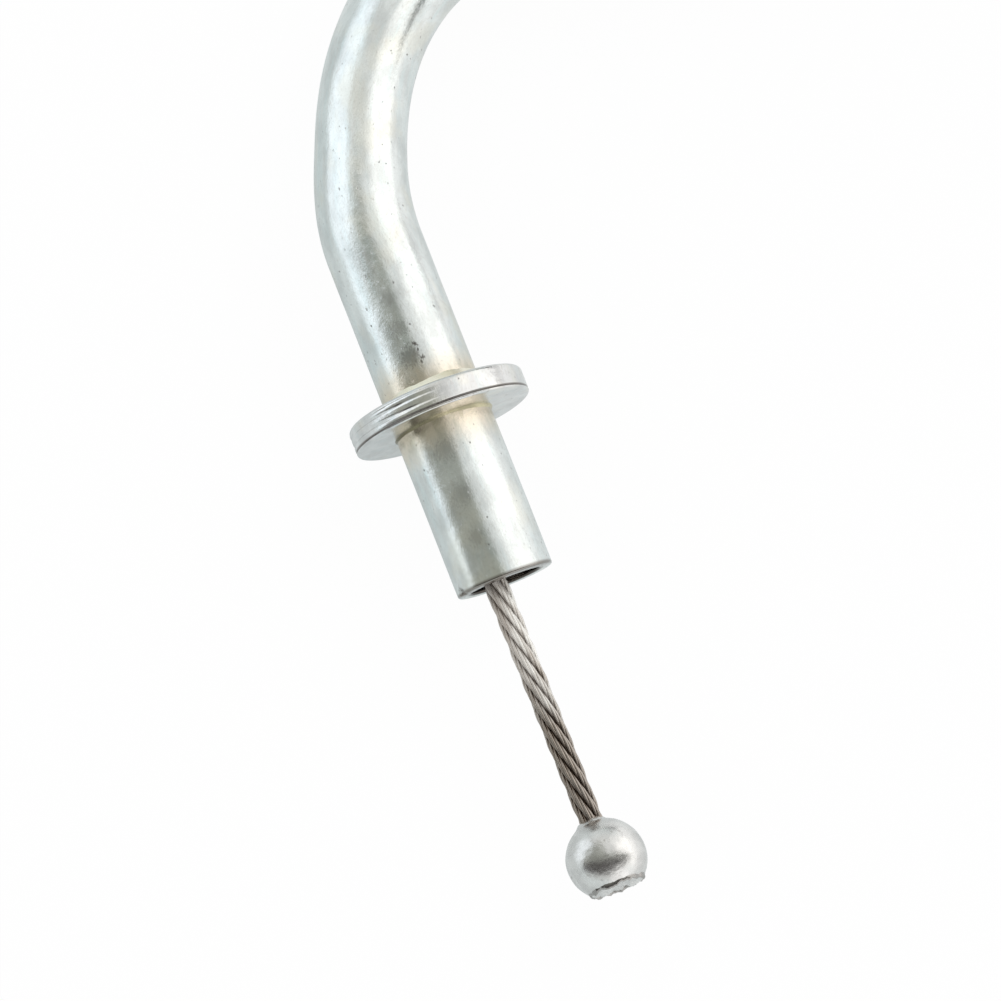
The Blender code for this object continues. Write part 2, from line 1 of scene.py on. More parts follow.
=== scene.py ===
"""The throttle cable's looks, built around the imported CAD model.

Shapes are worked out in millimetres, in the frame's own axes, from the boxes of the CAD nodes.
Every mesh carries a "flow" attribute: a point's place along its piece, and across it, as if
the piece were straight. The materials lay their grain along it.
"""
from math import ceil, cos, hypot, pi, radians, sin, sqrt, tau

import bmesh
import bpy
from mathutils import Matrix, Vector, noise


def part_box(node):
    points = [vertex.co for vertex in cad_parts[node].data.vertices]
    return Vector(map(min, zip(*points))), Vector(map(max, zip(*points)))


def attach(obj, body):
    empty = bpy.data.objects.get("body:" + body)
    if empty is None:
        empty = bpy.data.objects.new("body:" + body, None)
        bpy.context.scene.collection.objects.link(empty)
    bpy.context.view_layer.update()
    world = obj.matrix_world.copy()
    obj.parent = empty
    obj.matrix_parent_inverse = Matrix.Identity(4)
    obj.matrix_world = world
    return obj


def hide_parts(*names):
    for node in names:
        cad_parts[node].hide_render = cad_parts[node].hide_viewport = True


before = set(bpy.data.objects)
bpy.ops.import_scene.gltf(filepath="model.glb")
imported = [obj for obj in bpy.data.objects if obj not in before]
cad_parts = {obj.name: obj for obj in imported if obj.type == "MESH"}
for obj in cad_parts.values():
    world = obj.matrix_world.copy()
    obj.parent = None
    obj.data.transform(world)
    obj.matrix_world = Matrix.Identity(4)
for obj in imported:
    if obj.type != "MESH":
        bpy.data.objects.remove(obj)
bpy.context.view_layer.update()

MM = 0.001
UP = Vector((0, 0, 1))


def node_box(node):
    """Lowest and highest corner of a CAD node, in millimetres."""
    low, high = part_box(node)
    return low / MM, high / MM


def half_width(node):
    """The radius of a CAD node that is turned about a line along X."""
    low, high = node_box(node)
    return (high.y - low.y) / 2


# Sizes that the CAD nodes' boxes don't give by themselves
TUBE_OD = 6.0
TUBE_WALL = 0.8
BEND_RADIUS = 16.0
FLATTENING = 0.42
FLATTENING_RUN = radians(25)
LIP_ROUND = 0.14
WIRE_OD = 1.5
CASING_OD = 5.0
TURN_PITCH = 5.1
LAYER_PITCH = 5.05
TIE_THICKNESS = 0.5
TIE_WIDTH = 2.5
TIE_ANGLES = (15, 135, 255)

# Places, from the frame
flange_low, flange_high = node_box("flange_washer")
tube_low, tube_high = node_box("elbow_tube")
ferrule_low, ferrule_high = node_box("elbow_ferrule")
boot_low, boot_high = node_box("elbow_boot")
ball_low = node_box("ball_nipple")[0]
wire_low, wire_high = node_box("lever_wire")
coil_low, coil_high = node_box("casing_coil")
lever_run_low = node_box("casing_lever_run")[0]
carb_run_low = node_box("casing_carb_run")[0]

AXIS_X = (flange_low.x + flange_high.x) / 2
AXIS_Z = (flange_low.z + flange_high.z) / 2
SEAT_Y = flange_low.y
MOUTH_Y = tube_low.y
CASING_Y = (ferrule_low.y + ferrule_high.y) / 2     # of the tube's axis after the bend
BEND_Y = CASING_Y - BEND_RADIUS
TUBE_LENGTH = BEND_Y - MOUTH_Y + BEND_RADIUS * pi / 2 + tube_high.x - AXIS_X - BEND_RADIUS
COIL_EDGE = half_width("casing_coil")
COIL_CENTRE = Vector((coil_high.x - COIL_EDGE, (coil_high.y + coil_low.y) / 2, 0))
FITTING_Y, FITTING_Z = [(a + b) / 2 for a, b in zip(*node_box("washer_inner"))][1:]


# Meshes


def scene_object(name, data):
    made = bpy.data.objects.new(name, data)
    bpy.context.scene.collection.objects.link(made)
    return made


class Body:
    """A mesh being put together: points in millimetres, with each point's flow coordinates."""

    def __init__(self):
        self.points = []
        self.flow = []
        self.faces = []

    def add(self, point, flow):
        self.points.append(Vector(point))
        self.flow.append(Vector(flow))
        return len(self.points) - 1

    def tube(self, rings, closed=False, caps=True):
        """Skins a row of rings, each a list of (point, flow) with the same number of points."""
        rows = [[self.add(*spot) for spot in ring] for ring in rings]
        pairs = list(zip(rows, rows[1:]))
        if closed:
            pairs.append((rows[-1], rows[0]))
        for near, far in pairs:
            self.faces += zip(near, near[1:] + near[:1], far[1:] + far[:1], far)
        if caps and not closed:
            for row, ring in ((rows[0], rings[0]), (rows[-1], rings[-1])):
                means = [sum(map(Vector, spots), Vector()) / len(row) for spots in zip(*ring)]
                middle = self.add(*means)
                self.faces += [(middle, a, b) for a, b in zip(row, row[1:] + row[:1])]

    def piece(self, name, look, body, slot, nodes=(), crease=38):
        """Makes the mesh a piece of the scene that rides a body of the frame."""
        mesh = bpy.data.meshes.new(name)
        mesh.from_pydata([p * MM for p in self.points], [], self.faces)
        held = mesh.attributes.new("flow", "FLOAT_VECTOR", "POINT")
        held.data.foreach_set("vector", [c for f in self.flow for c in f])
        bm = bmesh.new()
        bm.from_mesh(mesh)
        bmesh.ops.remove_doubles(bm, verts=bm.verts, dist=1e-8)
        bmesh.ops.recalc_face_normals(bm, faces=bm.faces)
        bm.to_mesh(mesh)
        bm.free()
        mesh.shade_smooth()
        mesh.set_sharp_from_angle(angle=radians(crease))
        mesh.materials.append(look)
        made = scene_object(name, mesh)
        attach(made, body)
        if nodes:
            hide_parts(*nodes)
        return made


def straight(start, direction, side):
    """A function from a distance along a straight line to its centre and its two cross axes."""
    direction, side = Vector(direction), Vector(side)
    other = direction.cross(side)

    def place(along):
        return Vector(start) + direction * along, side, other

    return place


def ring_about(centre, side, other, along, radius, sides, shape):
    """A round ring. shape(along, radius, angle) gives the radius, for flats, threads and dents."""
    ring = []
    for k in range(sides):
        angle = tau * k / sides
        there = shape(along, radius, angle)
        across = side * cos(angle) + other * sin(angle)
        ring.append((centre + across * there, (along, there * cos(angle), there * sin(angle))))
    return ring


def turned_piece(name, look, node, body, slot, place, profile, sides, shape, crease=38):
    """A piece whose closed profile of (along, radius) is turned about a line."""
    made = Body()
    rings = [ring_about(*place(along), along, radius, sides, shape) for along, radius in profile]
    made.tube(rings, closed=True)
    made.piece(name, look, body, slot, nodes=(node,), crease=crease)
    return name


def skinned(rows, sides, spot):
    """Rings of the (point, flow) that spot(row, angle) gives."""
    return [[spot(row, tau * k / sides) for k in range(sides)] for row in range(rows)]


def rounded(corners, steps=5):
    """A closed outline of (along, radius, rounding) corners, each rounded by its own radius."""
    outline = []
    count = len(corners)
    for k, (x, y, rounding) in enumerate(corners):
        here = Vector((x, y))
        if rounding == 0:
            outline.append((x, y))
            continue
        before = (Vector(corners[k - 1][:2]) - here).normalized()
        after = (Vector(corners[(k + 1) % count][:2]) - here).normalized()
        half = before.angle(after) / 2
        back = rounding / sin(half)
        middle = here + (before + after).normalized() * back
        reach = rounding / (sin(half) / cos(half))
        first, last = here + before * reach - middle, here + after * reach - middle
        turn = first.angle_signed(last)
        for j in range(steps + 1):
            spun = Matrix.Rotation(-turn * j / steps, 2) @ first
            outline.append(tuple(middle + spun))
    return outline


def filled(outline, longest):
    """The outline with points added, so that no straight stretch is longer than that."""
    full = []
    for k, here in enumerate(outline):
        after = outline[(k + 1) % len(outline)]
        pieces = max(1, ceil(hypot(after[0] - here[0], after[1] - here[1]) / longest))
        for j in range(pieces):
            part = j / pieces
            full.append((here[0] + (after[0] - here[0]) * part, here[1] + (after[1] - here[1]) * part))
    return full


def rough(place, scale, amount, octaves=3):
    """Smooth noise at a place, about zero."""
    return noise.fractal(Vector(place) * scale, 1.0, 2.0, octaves) * amount


def eased(value):
    value = min(max(value, 0), 1)
    return value * value * (3 - 2 * value)


def skin(along, angle, around, amount, octaves=3):
    """Smooth noise over a turned piece, that many times as fine around it."""
    return rough((along, cos(angle) * around, sin(angle) * around), 1.0, amount, octaves)


def shares(count):
    """From 0 to 1 in that many steps."""
    return [k / count for k in range(count + 1)]


def spun(radius, angle):
    return Vector((cos(angle), sin(angle))) * radius


CHAMFER_CIRCLE = 0.965  # on a hexagon's end face, as a share of its flats
CHAMFER_SLOPE = 1.75    # of the chamfer's radius along the bar, for 30 degrees
WORN_CORNER = 0.985


def hexagon(flats, chamfer_from, chamfer_to):
    """A shape for a turned piece: a hexagon bar whose ends are chamfered by a cone."""
    corner = flats / sqrt(3)

    def shape(along, radius, angle):
        off = (angle + pi / 6) % (pi / 3) - pi / 6
        flat = flats / 2 / cos(off)
        inside = min(along - chamfer_from, chamfer_to - along)
        cone = flats / 2 * CHAMFER_CIRCLE + max(inside, 0) * CHAMFER_SLOPE
        return min(flat, cone, corner * WORN_CORNER) if radius > flats * 0.45 else radius

    return shape


def hexagon_run(start, end, flats, step, count):
    """Points along a hexagon bar, close together where its ends are chamfered."""
    wide = flats / sqrt(3)
    near = [(start + k * step, wide) for k in range(count)]
    return near + [(end - k * step, wide) for k in reversed(range(count))]


# Materials, and the node trees that they and the stage are made of


class Tree:
    """The nodes of a material or of the world. A socket or a value feeds each input."""

    def __init__(self, owner):
        owner.use_nodes = True
        self.nodes = owner.node_tree.nodes
        self.links = owner.node_tree.links

    def plug(self, value, socket):
        if isinstance(value, bpy.types.NodeSocket):
            self.links.new(value, socket)
        elif socket.type == "RGBA":
            socket.default_value = (*value, 1)
        else:
            socket.default_value = value

    def node(self, kind, inputs=None, **settings):
        """Adds a node and returns its outputs."""
        made = self.nodes.new(kind)
        for key, value in settings.items():
            setattr(made, key, value)
        for key, value in (inputs or {}).items():
            self.plug(value, made.inputs[key])
        return made.outputs

    def step(self, value, low, high, out_low=0.0, out_high=1.0):
        """A smooth step of a value from one level to another."""
        levels = {"From Min": low, "From Max": high, "To Min": out_low, "To Max": out_high}
        inputs = {"Value": value, **levels}
        return self.node("ShaderNodeMapRange", inputs, interpolation_type="SMOOTHSTEP")["Result"]

    def math(self, operation, a, b=0.0, c=0.0):
        return self.node("ShaderNodeMath", {0: a, 1: b, 2: c}, operation=operation)[0]

    def times(self, a, b):
        return self.math("MULTIPLY", a, b)

    def off(self, value, at):
        """How far a value is from a place."""
        return self.math("ABSOLUTE", self.math("SUBTRACT", value, at))

    def part(self, vector, axis):
        return self.node("ShaderNodeSeparateXYZ", {"Vector": vector})[axis]

    def vector(self, operation, a, b=(0, 0, 0)):
        """A number that is worked out from two vectors."""
        return self.node("ShaderNodeVectorMath", {0: a, 1: b}, operation=operation)["Value"]

    def mix(self, share, a, b):
        """One colour turning into another by a share."""
        return self.node("ShaderNodeMix", {0: share, 6: a, 7: b}, data_type="RGBA")[2]

    def surface(self, share, a, b):
        """One shader turning into another on the material's surface."""
        mixed = self.node("ShaderNodeMixShader", {0: share, 1: a, 2: b})[0]
        self.plug(mixed, self.nodes["Material Output"].inputs["Surface"])


class Look(Tree):
    """A Principled material: a base colour with stains over it, a roughness and bumps."""

    def __init__(self, name, metallic=0.0):
        self.material = bpy.data.materials.new(name)
        super().__init__(self.material)
        self.shader = self.nodes["Principled BSDF"].inputs
        self.shader["Metallic"].default_value = metallic
        self.flow = self.held("flow")["Vector"]
        self.base = None
        self.height = None

    def held(self, name):
        """An attribute of the mesh."""
        return self.node("ShaderNodeAttribute", attribute_name=name)

    def along(self):
        return self.part(self.flow, "X")

    def off_line(self):
        """How far a point is from the piece's middle line."""
        return self.vector("LENGTH", self.stretched(0.0, 1.0, 0.0))

    def stretched(self, along, across, shift):
        """The flow coordinates, scaled along and across the piece."""
        inputs = {"Vector": self.flow, "Scale": (along, across, across), "Location": (shift,) * 3}
        return self.node("ShaderNodeMapping", inputs)["Vector"]

    def noise(self, scale, along=1.0, across=1.0, detail=4.0, rough=0.55, shift=0.0):
        flow = self.stretched(along, across, shift)
        inputs = {"Vector": flow, "Scale": scale, "Detail": detail, "Roughness": rough}
        return self.node("ShaderNodeTexNoise", inputs)["Fac"]

    def swing(self, noise, reach):
        """A noise about zero."""
        return self.times(self.math("SUBTRACT", noise, 0.5), reach)

    def stain(self, share, strength, colour):
        """Turns the base colour into another by a share of that strength."""
        self.base = self.mix(self.times(share, strength), self.base, colour)

    def bump(self, height, depth, strength=1.0):
        """Adds a bump of that depth in millimetres to what is there already."""
        inputs = {"Height": height, "Distance": depth * MM, "Strength": strength}
        if self.height:
            inputs["Normal"] = self.height
        self.height = self.node("ShaderNodeBump", inputs)["Normal"]
        self.plug(self.height, self.shader["Normal"])

    def done(self, roughness):
        self.plug(self.base, self.shader["Base Color"])
        self.plug(roughness, self.shader["Roughness"])
        return self.material


def shaded(tone, *shares):
    """A tone, darkened by one share or by one for each of its colours."""
    return tuple(c * k for c, k in zip(tone, shares * 3 if len(shares) == 1 else shares))


def zinc_look(name, tone, wear=0.5, mottled=0.2, tint_at=None, pits=(), bore=0.0, dark_rim_line=None):
    """Bright zinc plating on steel: mottled, with pits, and a heat tint at a place along it.

    A bore's wall is darkened with painted shade, and so is the lip's upper edge. A dark brownish
    line runs around the rim at (along, half its width).
    """
    look = Look(name, metallic=1.0)
    mottle = look.noise(0.75, along=0.55, detail=5, rough=0.6)
    fine = look.noise(4.0, along=0.6, detail=5, rough=0.7, shift=7)
    drawn = look.noise(1.6, along=0.12, rough=0.6, shift=19)
    grain = look.noise(11.0, along=0.5, rough=0.75, shift=29)
    yellow = look.noise(0.4, along=0.8, detail=3, shift=41)
    stained = look.noise(1.9, along=0.7, detail=6, rough=0.75, shift=23)
    look.base = look.mix(look.step(mottle, 0.34, 0.66), tone, shaded(tone, 1 - mottled))
    look.stain(look.step(drawn, 0.45, 0.72), 0.4, shaded(tone, 0.8, 0.9, 0.92))
    look.stain(look.step(yellow, 0.48, 0.66), 0.35, (0.86, 0.82, 0.7))
    look.stain(look.step(stained, 0.56, 0.7), 0.5 * wear, (0.48, 0.42, 0.36))
    if tint_at is not None:
        away = look.math("ADD", look.off(look.along(), tint_at), look.swing(mottle, 3.4))
        heat = look.step(away, 3.6, 0.9)
        look.stain(heat, 0.7, (0.76, 0.62, 0.44))
        look.stain(look.times(heat, look.step(mottle, 0.46, 0.62)), 0.5, (0.42, 0.38, 0.24))
    inputs = {"Vector": look.stretched(0.8, 1.0, 3), "Scale": 2.3}
    cells = look.node("ShaderNodeTexVoronoi", inputs, feature="F1")["Distance"]
    speckled = look.times(look.step(cells, 0.2, 0.06), look.step(fine, 0.53, 0.62))
    look.stain(speckled, 0.8, (0.13, 0.1, 0.08))
    look.stain(look.step(grain, 0.5, 0.72), 0.35, (0.5, 0.47, 0.43))
    look.bump(mottle, 0.02)
    look.bump(fine, 0.012)
    look.bump(grain, 0.003)
    look.bump(look.math("SUBTRACT", 1.0, speckled), 0.03)
    for spot, size, share in pits:
        away = look.math("ADD", look.vector("DISTANCE", look.flow, spot), look.swing(grain, size * 3.2))
        look.stain(look.step(away, size, size * 0.35), share, (0.08, 0.062, 0.05))
    # Painted shade: the bore's wall is darkened, and near the mouth the lip's upper edge too.
    if bore:
        look.stain(look.step(look.off_line(), bore + 0.3, bore + 0.1), 1.0, (0.1, 0.088, 0.078))
        upper = look.step(look.part(look.flow, "Z"), -0.6, 0.9)
        look.stain(look.times(look.step(look.along(), 0.3, 0.1), upper), 0.8, (0.2, 0.17, 0.15))
    # A dark brownish line around the rim, over its turned groove.
    if dark_rim_line:
        at, half = dark_rim_line
        line = look.step(look.off(look.along(), at), half, half * 0.3)
        rim = look.step(look.off_line(), RIM_FROM, RIM_FROM + 0.3)
        look.stain(look.times(line, rim), 0.85, (0.17, 0.145, 0.13))
    return look.done(look.step(fine, 0.25, 0.8, 0.1, 0.24))


def cast_look(name, tone):
    """Satin die-cast zinc, with a grainy skin."""
    look = Look(name, metallic=1.0)
    cloud = look.noise(0.9)
    grain = look.noise(7.0, detail=6, rough=0.7)
    dirt = look.noise(2.6, detail=5, rough=0.7, shift=11)
    look.base = look.mix(look.step(cloud, 0.35, 0.7), tone, shaded(tone, 0.8))
    look.stain(look.step(dirt, 0.6, 0.72), 0.5, (0.22, 0.19, 0.15))
    look.bump(cloud, 0.05)
    look.bump(grain, 0.003)
    return look.done(look.step(grain, 0.3, 0.75, 0.24, 0.36))


def wire_look(name, bright_from, dark_to):
    """Steel strand, cleaner at one end, with oil and brown dust in its grooves, darkened there by
    painted shade too, and painted shade on one side.
    """
    look = Look(name)
    cloud = look.noise(1.1, along=0.45)
    fine = look.noise(9.0)
    used = look.step(look.math("ADD", look.along(), look.swing(cloud, 9.0)), bright_from, dark_to)
    look.base = look.mix(used, (1.0, 0.98, 0.93), (0.42, 0.37, 0.33))
    look.stain(look.step(cloud, 0.45, 0.68), 0.5, (0.45, 0.38, 0.32))
    # Painted shade: the strand's flow -Y side is browner and darker.
    side = look.step(look.part(look.flow, "Y"), 0.3, -0.5)
    look.stain(side, look.step(used, 0.0, 1.0, 0.6, 0.7), (0.3, 0.255, 0.215))
    # Oil and dust in the grooves between the wires, and painted shade: darker the deeper the groove.
    deep = look.step(look.held("groove")["Fac"], 0.3, 0.95)
    look.stain(deep, look.step(used, 0.0, 1.0, 0.5, 0.95), (0.12, 0.085, 0.06))
    look.plug(look.step(used, 0.0, 1.0, 0.25, 0.9), look.shader["Metallic"])
    look.bump(fine, 0.01)
    return look.done(look.step(fine, 0.3, 0.7, 0.22, 0.4))


def rubber_look(name, tone, roughness):
    """Matt black rubber or plastic with dust in its pores."""
    look = Look(name)
    cloud = look.noise(0.6, detail=5, rough=0.6)
    pores = look.noise(6.0, detail=5, rough=0.7, shift=5)
    dust = look.noise(3.0, detail=6, rough=0.75, shift=17)
    look.base = look.mix(look.step(cloud, 0.35, 0.7), tone, tuple(c * 1.6 + 0.006 for c in tone))
    look.stain(look.step(dust, 0.6, 0.75), 0.25, (0.14, 0.13, 0.115))
    look.bump(pores, 0.03)
    return look.done(look.step(pores, 0.3, 0.75, roughness - 0.12, roughness + 0.12))


def jacket_look(name):
    """Black extruded jacket over a steel spiral, which shows as faint rings."""
    look = Look(name)
    cloud = look.noise(0.25, detail=5, rough=0.6)
    scuff = look.noise(1.2, along=3.0, across=0.6, detail=6, rough=0.7, shift=9)
    look.base = look.mix(look.step(cloud, 0.35, 0.7), (0.017, 0.017, 0.019), (0.036, 0.036, 0.038))
    look.stain(look.step(scuff, 0.62, 0.72), 0.4, (0.12, 0.12, 0.12))
    look.bump(look.math("SINE", look.times(look.along(), tau / SPIRAL_PITCH)), 0.035, 0.5)
    look.bump(look.noise(3.0, along=0.3), 0.02)
    return look.done(look.step(look.noise(4.0, detail=5, shift=2), 0.3, 0.7, 0.3, 0.52))


def brazing_look(name, pale, dark, shade):
    """Plated brazing metal, yellow to olive, with painted shade that darkens its -X side by a share."""
    look = Look(name, metallic=1.0)
    cloud = look.noise(0.9)
    stained = look.noise(2.6, detail=5, rough=0.7, shift=4)
    look.base = look.mix(look.step(cloud, 0.36, 0.64), pale, dark)
    look.stain(look.step(stained, 0.56, 0.7), 0.35, (0.4, 0.32, 0.2))
    # Painted shade on the -X side.
    look.stain(look.step(look.part(look.flow, "Y"), 1.4, -1.2), shade, (0.15, 0.13, 0.08))
    look.bump(cloud, 0.03)
    return look.done(look.step(cloud, 0.3, 0.7, 0.22, 0.34))


MOUTH_NICK = radians(153)       # around the mouth, from +X over the top
EDGE_LINE = (0.2, 0.08, 0.07)   # along the flange's rim: its place, half its width and its depth
RIM_FROM = 5.0                  # radius that the dark rim line starts at
SPIRAL_PITCH = 1.15             # of the steel spiral under the jacket
TUBE_PITS = (
    # y along the nose, degrees around the tube, radius and strength of a dark spot or of a larger faint
    # dark patch
    (MOUTH_Y + 0.1, 153, 0.44, 0.85),
    (7.0, 84, 0.1, 0.8),
    (3.1, 87, 0.17, 0.85),
    (2.7, 86, 0.1, 0.8),
    (4.3, 84, 0.09, 0.7),
    (2.15, 84, 0.16, 0.75),
    (1.9, 87, 0.12, 0.7),
    (-9.6, 92, 0.07, 0.7),
    (2.5, 97, 0.85, 0.42),
    (4.3, 97, 0.7, 0.3),
    (6.3, 96, 0.6, 0.2),
    (-3.6, 99, 0.9, 0.24),
    (-6.4, 101, 0.9, 0.22),
    (-9.0, 103, 0.6, 0.2),
)


def on_tube(y, turn):
    """A place on the tube's skin in its flow coordinates."""
    return y - MOUTH_Y, cos(radians(turn)) * TUBE_OD / 2, sin(radians(turn)) * TUBE_OD / 2


TUBE_LOOK = zinc_look(
    "tube_zinc", (0.83, 0.855, 0.84), tint_at=SEAT_Y - MOUTH_Y + 0.8,
    pits=[(on_tube(y, turn), size, share) for y, turn, size, share in TUBE_PITS],
    bore=TUBE_OD / 2 - TUBE_WALL,
)
FLANGE_LOOK = zinc_look("flange_zinc", (0.82, 0.81, 0.8), wear=0.8, dark_rim_line=(EDGE_LINE[0], 0.11))
PLATE_LOOK = zinc_look("plate_zinc", (0.76, 0.78, 0.76), wear=0.3, mottled=0.1)
# The front fillet's copy is darker than the back one's: painted shade under the flange's rim.
SHADED_BRAZING_LOOK = brazing_look("brazing", (0.66, 0.6, 0.4), (0.42, 0.38, 0.25), 0.85)
PALE_BRAZING_LOOK = brazing_look("pale_brazing", (0.95, 0.9, 0.76), (0.84, 0.77, 0.6), 0.0)
CAST_LOOK = cast_look("cast_zinc_skin", (0.8, 0.785, 0.765))
FLASH_LOOK = cast_look("torn_zinc", (0.46, 0.44, 0.42))
ROPE_LOOK = wire_look("lever_strand", wire_high.y - MOUTH_Y + 3.0, wire_high.y - MOUTH_Y + 11.0)
CARB_ROPE_LOOK = wire_look("carb_strand", 5.0, 40.0)
JACKET_LOOK = jacket_look("casing_jacket")
RUBBER_LOOK = rubber_look("boot_rubber", (0.02, 0.02, 0.021), 0.62)
NYLON_LOOK = rubber_look("tie_nylon", (0.028, 0.028, 0.03), 0.42)


# Camera: the photograph looks down on the cable, turned so that the nose points down and right

CAMERA_ELEVATION = radians(79.5)
CAMERA_ROLL = radians(21.5)
CAMERA_DISTANCE = 500.0
CAMERA_AIM = Vector((-17.27, -7.07, 5.5))
FIELD_WIDTH = 59.5
SENSOR = 36.0

view_direction = Vector((0, cos(CAMERA_ELEVATION), -sin(CAMERA_ELEVATION)))
level_up = Vector((0, sin(CAMERA_ELEVATION), cos(CAMERA_ELEVATION)))
view_right = Vector((1, 0, 0)) * cos(CAMERA_ROLL) - level_up * sin(CAMERA_ROLL)
view_up = Vector((1, 0, 0)) * sin(CAMERA_ROLL) + level_up * cos(CAMERA_ROLL)
view_axes = Matrix((view_right, view_up, -view_direction)).transposed().to_4x4()
view_from = CAMERA_AIM - view_direction * CAMERA_DISTANCE

camera_data = bpy.data.cameras.new("camera")
camera_data.sensor_width = SENSOR
camera_data.lens = SENSOR * CAMERA_DISTANCE / FIELD_WIDTH
camera_data.clip_start = 0.01
camera_data.clip_end = 20
camera = scene_object("camera", camera_data)
camera.matrix_world = Matrix.Translation(view_from * MM) @ view_axes
bpy.context.scene.camera = camera
bpy.context.scene.view_settings.view_transform = "Standard"


# Casing: one cord from the elbow's ferrule, through the coil, to the adjuster's cap

COIL_LINE = COIL_EDGE - CASING_OD / 2   # of the outermost turn
LOW_LAYER = TIE_THICKNESS + CASING_OD / 2
COIL_START = -120       # degrees about the coil's centre
COIL_END = 1170
LAYER_END = (COIL_START + COIL_END) / 2
CLIMB = 40              # degrees between the two layers
ENTRY_RADIUS = 30.0     # of the bend that leads into the coil
CORD_STEP = 0.8
LEVEL_RUN = 1.0         # inside the boot, before it starts to drop
STRAIGHT_RUN = 2.5      # into the cap
COIL_MIDDLE = 25        # radius that the coil's steps are counted at


def coil_radius(angle):
    """Of the turns: inwards on the lower layer, then out again on the upper one."""
    inwards = min(angle - COIL_START, COIL_END - angle)
    return COIL_LINE - TURN_PITCH * inwards / 360


def coil_height(angle):
    return LOW_LAYER + LAYER_PITCH * eased((angle - LAYER_END) / CLIMB + 0.5)


def coil_point(angle):
    turn = radians(angle)
    radius = coil_radius(angle)
    return Vector((
        COIL_CENTRE.x + radius * cos(turn),
        COIL_CENTRE.y + radius * sin(turn),
        coil_height(angle),
    ))


def casing_route():
    """The casing's centreline: straight, a bend, the coil, and the run to the adjuster."""
    joins = coil_point(COIL_START)
    heading = radians(COIL_START + 90)
    start = Vector((lever_run_low.x, CASING_Y, AXIS_Z))
    bend = Vector((joins.x + ENTRY_RADIUS * sin(heading), CASING_Y, AXIS_Z))
    points = [start.lerp(bend, share) for share in shares(ceil((bend.x - start.x) / CORD_STEP))[:-1]]
    for share in shares(ceil(-heading * ENTRY_RADIUS / CORD_STEP))[:-1]:
        turn = heading * share
        points.append(bend - Vector((sin(turn), 1 - cos(turn), 0)) * ENTRY_RADIUS)
    drop_from = boot_high.x - LEVEL_RUN
    for point in points:
        down = eased((point.x - drop_from) / (joins.x - drop_from))
        point.z = AXIS_Z + (LOW_LAYER - AXIS_Z) * down
    sweep = COIL_END - COIL_START
    for share in shares(ceil(radians(sweep) * COIL_MIDDLE / CORD_STEP)):
        points.append(coil_point(COIL_START + sweep * share))
    leaves = points[-1]
    end = Vector((carb_run_low.x, FITTING_Y, FITTING_Z))
    level_x = end.x + STRAIGHT_RUN
    for share in shares(ceil((leaves.x - end.x) / CORD_STEP))[1:]:
        x = leaves.x + (end.x - leaves.x) * share
        point = leaves.lerp(end, eased((leaves.x - x) / (leaves.x - level_x)))
        points.append(Vector((x, point.y, point.z)))
    return points


def swept(points, radius, sides, shape):
    """Rings along a route, each square to it and carried on from the one before."""
    rings = []
    along = 0
    side = None
    for k, point in enumerate(points):
        ahead = points[min(k + 1, len(points) - 1)] - points[max(k - 1, 0)]
        ahead.normalize()
        if side is None:
            side = ahead.orthogonal().normalized()
        side = (side - ahead * side.dot(ahead)).normalized()
        if k:
            along += (point - points[k - 1]).length
        rings.append(ring_about(point, side, ahead.cross(side), along, radius, sides, shape))
    return rings


def jacket_shape(along, radius, angle):
    return radius - 0.02 + skin(along * 0.05, angle, 1, 0.02, 2)


route = casing_route()
casing = Body()
casing.tube(swept(route, CASING_OD / 2, 28, jacket_shape))
casing_piece = casing.piece(
    "casing", JACKET_LOOK, "cable", "black_pvc",
    nodes=("casing_lever_run", "casing_coil", "casing_carb_run"),
)


# Elbow tube

TUBE_SIDES = 160
TUBE_STEP = 0.16
BORE_STEP = 0.9
LIP_STEPS = 6
BORE_LIP = 0.12
BORE_LIP_STEPS = 4
MOUTH_SKEW = 0.42       # the cut isn't square: its top stands out by this much
MOUTH_SKEW_RUN = 4.0    # how far behind the mouth that fades out
NICK_RADIUS = 0.42
NICK_DEPTH = 0.3
BEND_BULGE = 0.72       # the drawn bend's departure from a plain arc, outwards
BULGE_FROM, BULGE_TO, BULGE_END = radians(19), radians(64), radians(90)


def elbow_frame(along):
    """Centre of the tube, the direction away from the bend's inside, and how flat it is there."""
    bend_from = BEND_Y - MOUTH_Y
    turn = min(max((along - bend_from) / BEND_RADIUS, 0), pi / 2)
    past = max(along - bend_from - BEND_RADIUS * pi / 2, 0)
    inward = Vector((cos(turn), -sin(turn), 0))
    forward = Vector((sin(turn), cos(turn), 0))
    if along < bend_from:
        centre = Vector((AXIS_X, MOUTH_Y + along, AXIS_Z))
    else:
        middle = Vector((AXIS_X + BEND_RADIUS, BEND_Y, AXIS_Z))
        rise = eased((turn - BULGE_FROM) / (BULGE_TO - BULGE_FROM))
        fall = eased((BULGE_END - turn) / (BULGE_END - BULGE_TO))
        centre = middle - inward * (BEND_RADIUS + BEND_BULGE * min(rise, fall)) + forward * past
    return centre, inward, FLATTENING * eased(min(turn, pi / 2 - turn) / FLATTENING_RUN)


def tube_skin(along, angle):
    """How far the drawn and plated skin departs from a true tube."""
    across = Vector((0, cos(angle), sin(angle)))
    waves = rough(across * 1.4 + Vector((along * 0.11, 0, 0)), 1.0, 0.016, 2)
    mottle = rough(across * 3.6 + Vector((along * 0.6 + 31, 0, 0)), 1.0, 0.005, 3)
    off = (angle - MOUTH_NICK + pi) % tau - pi
    away = hypot(off * TUBE_OD / 2, along * 0.8) / NICK_RADIUS
    nick = NICK_DEPTH * eased(1 - away)
    return waves + mottle - 0.012 - nick


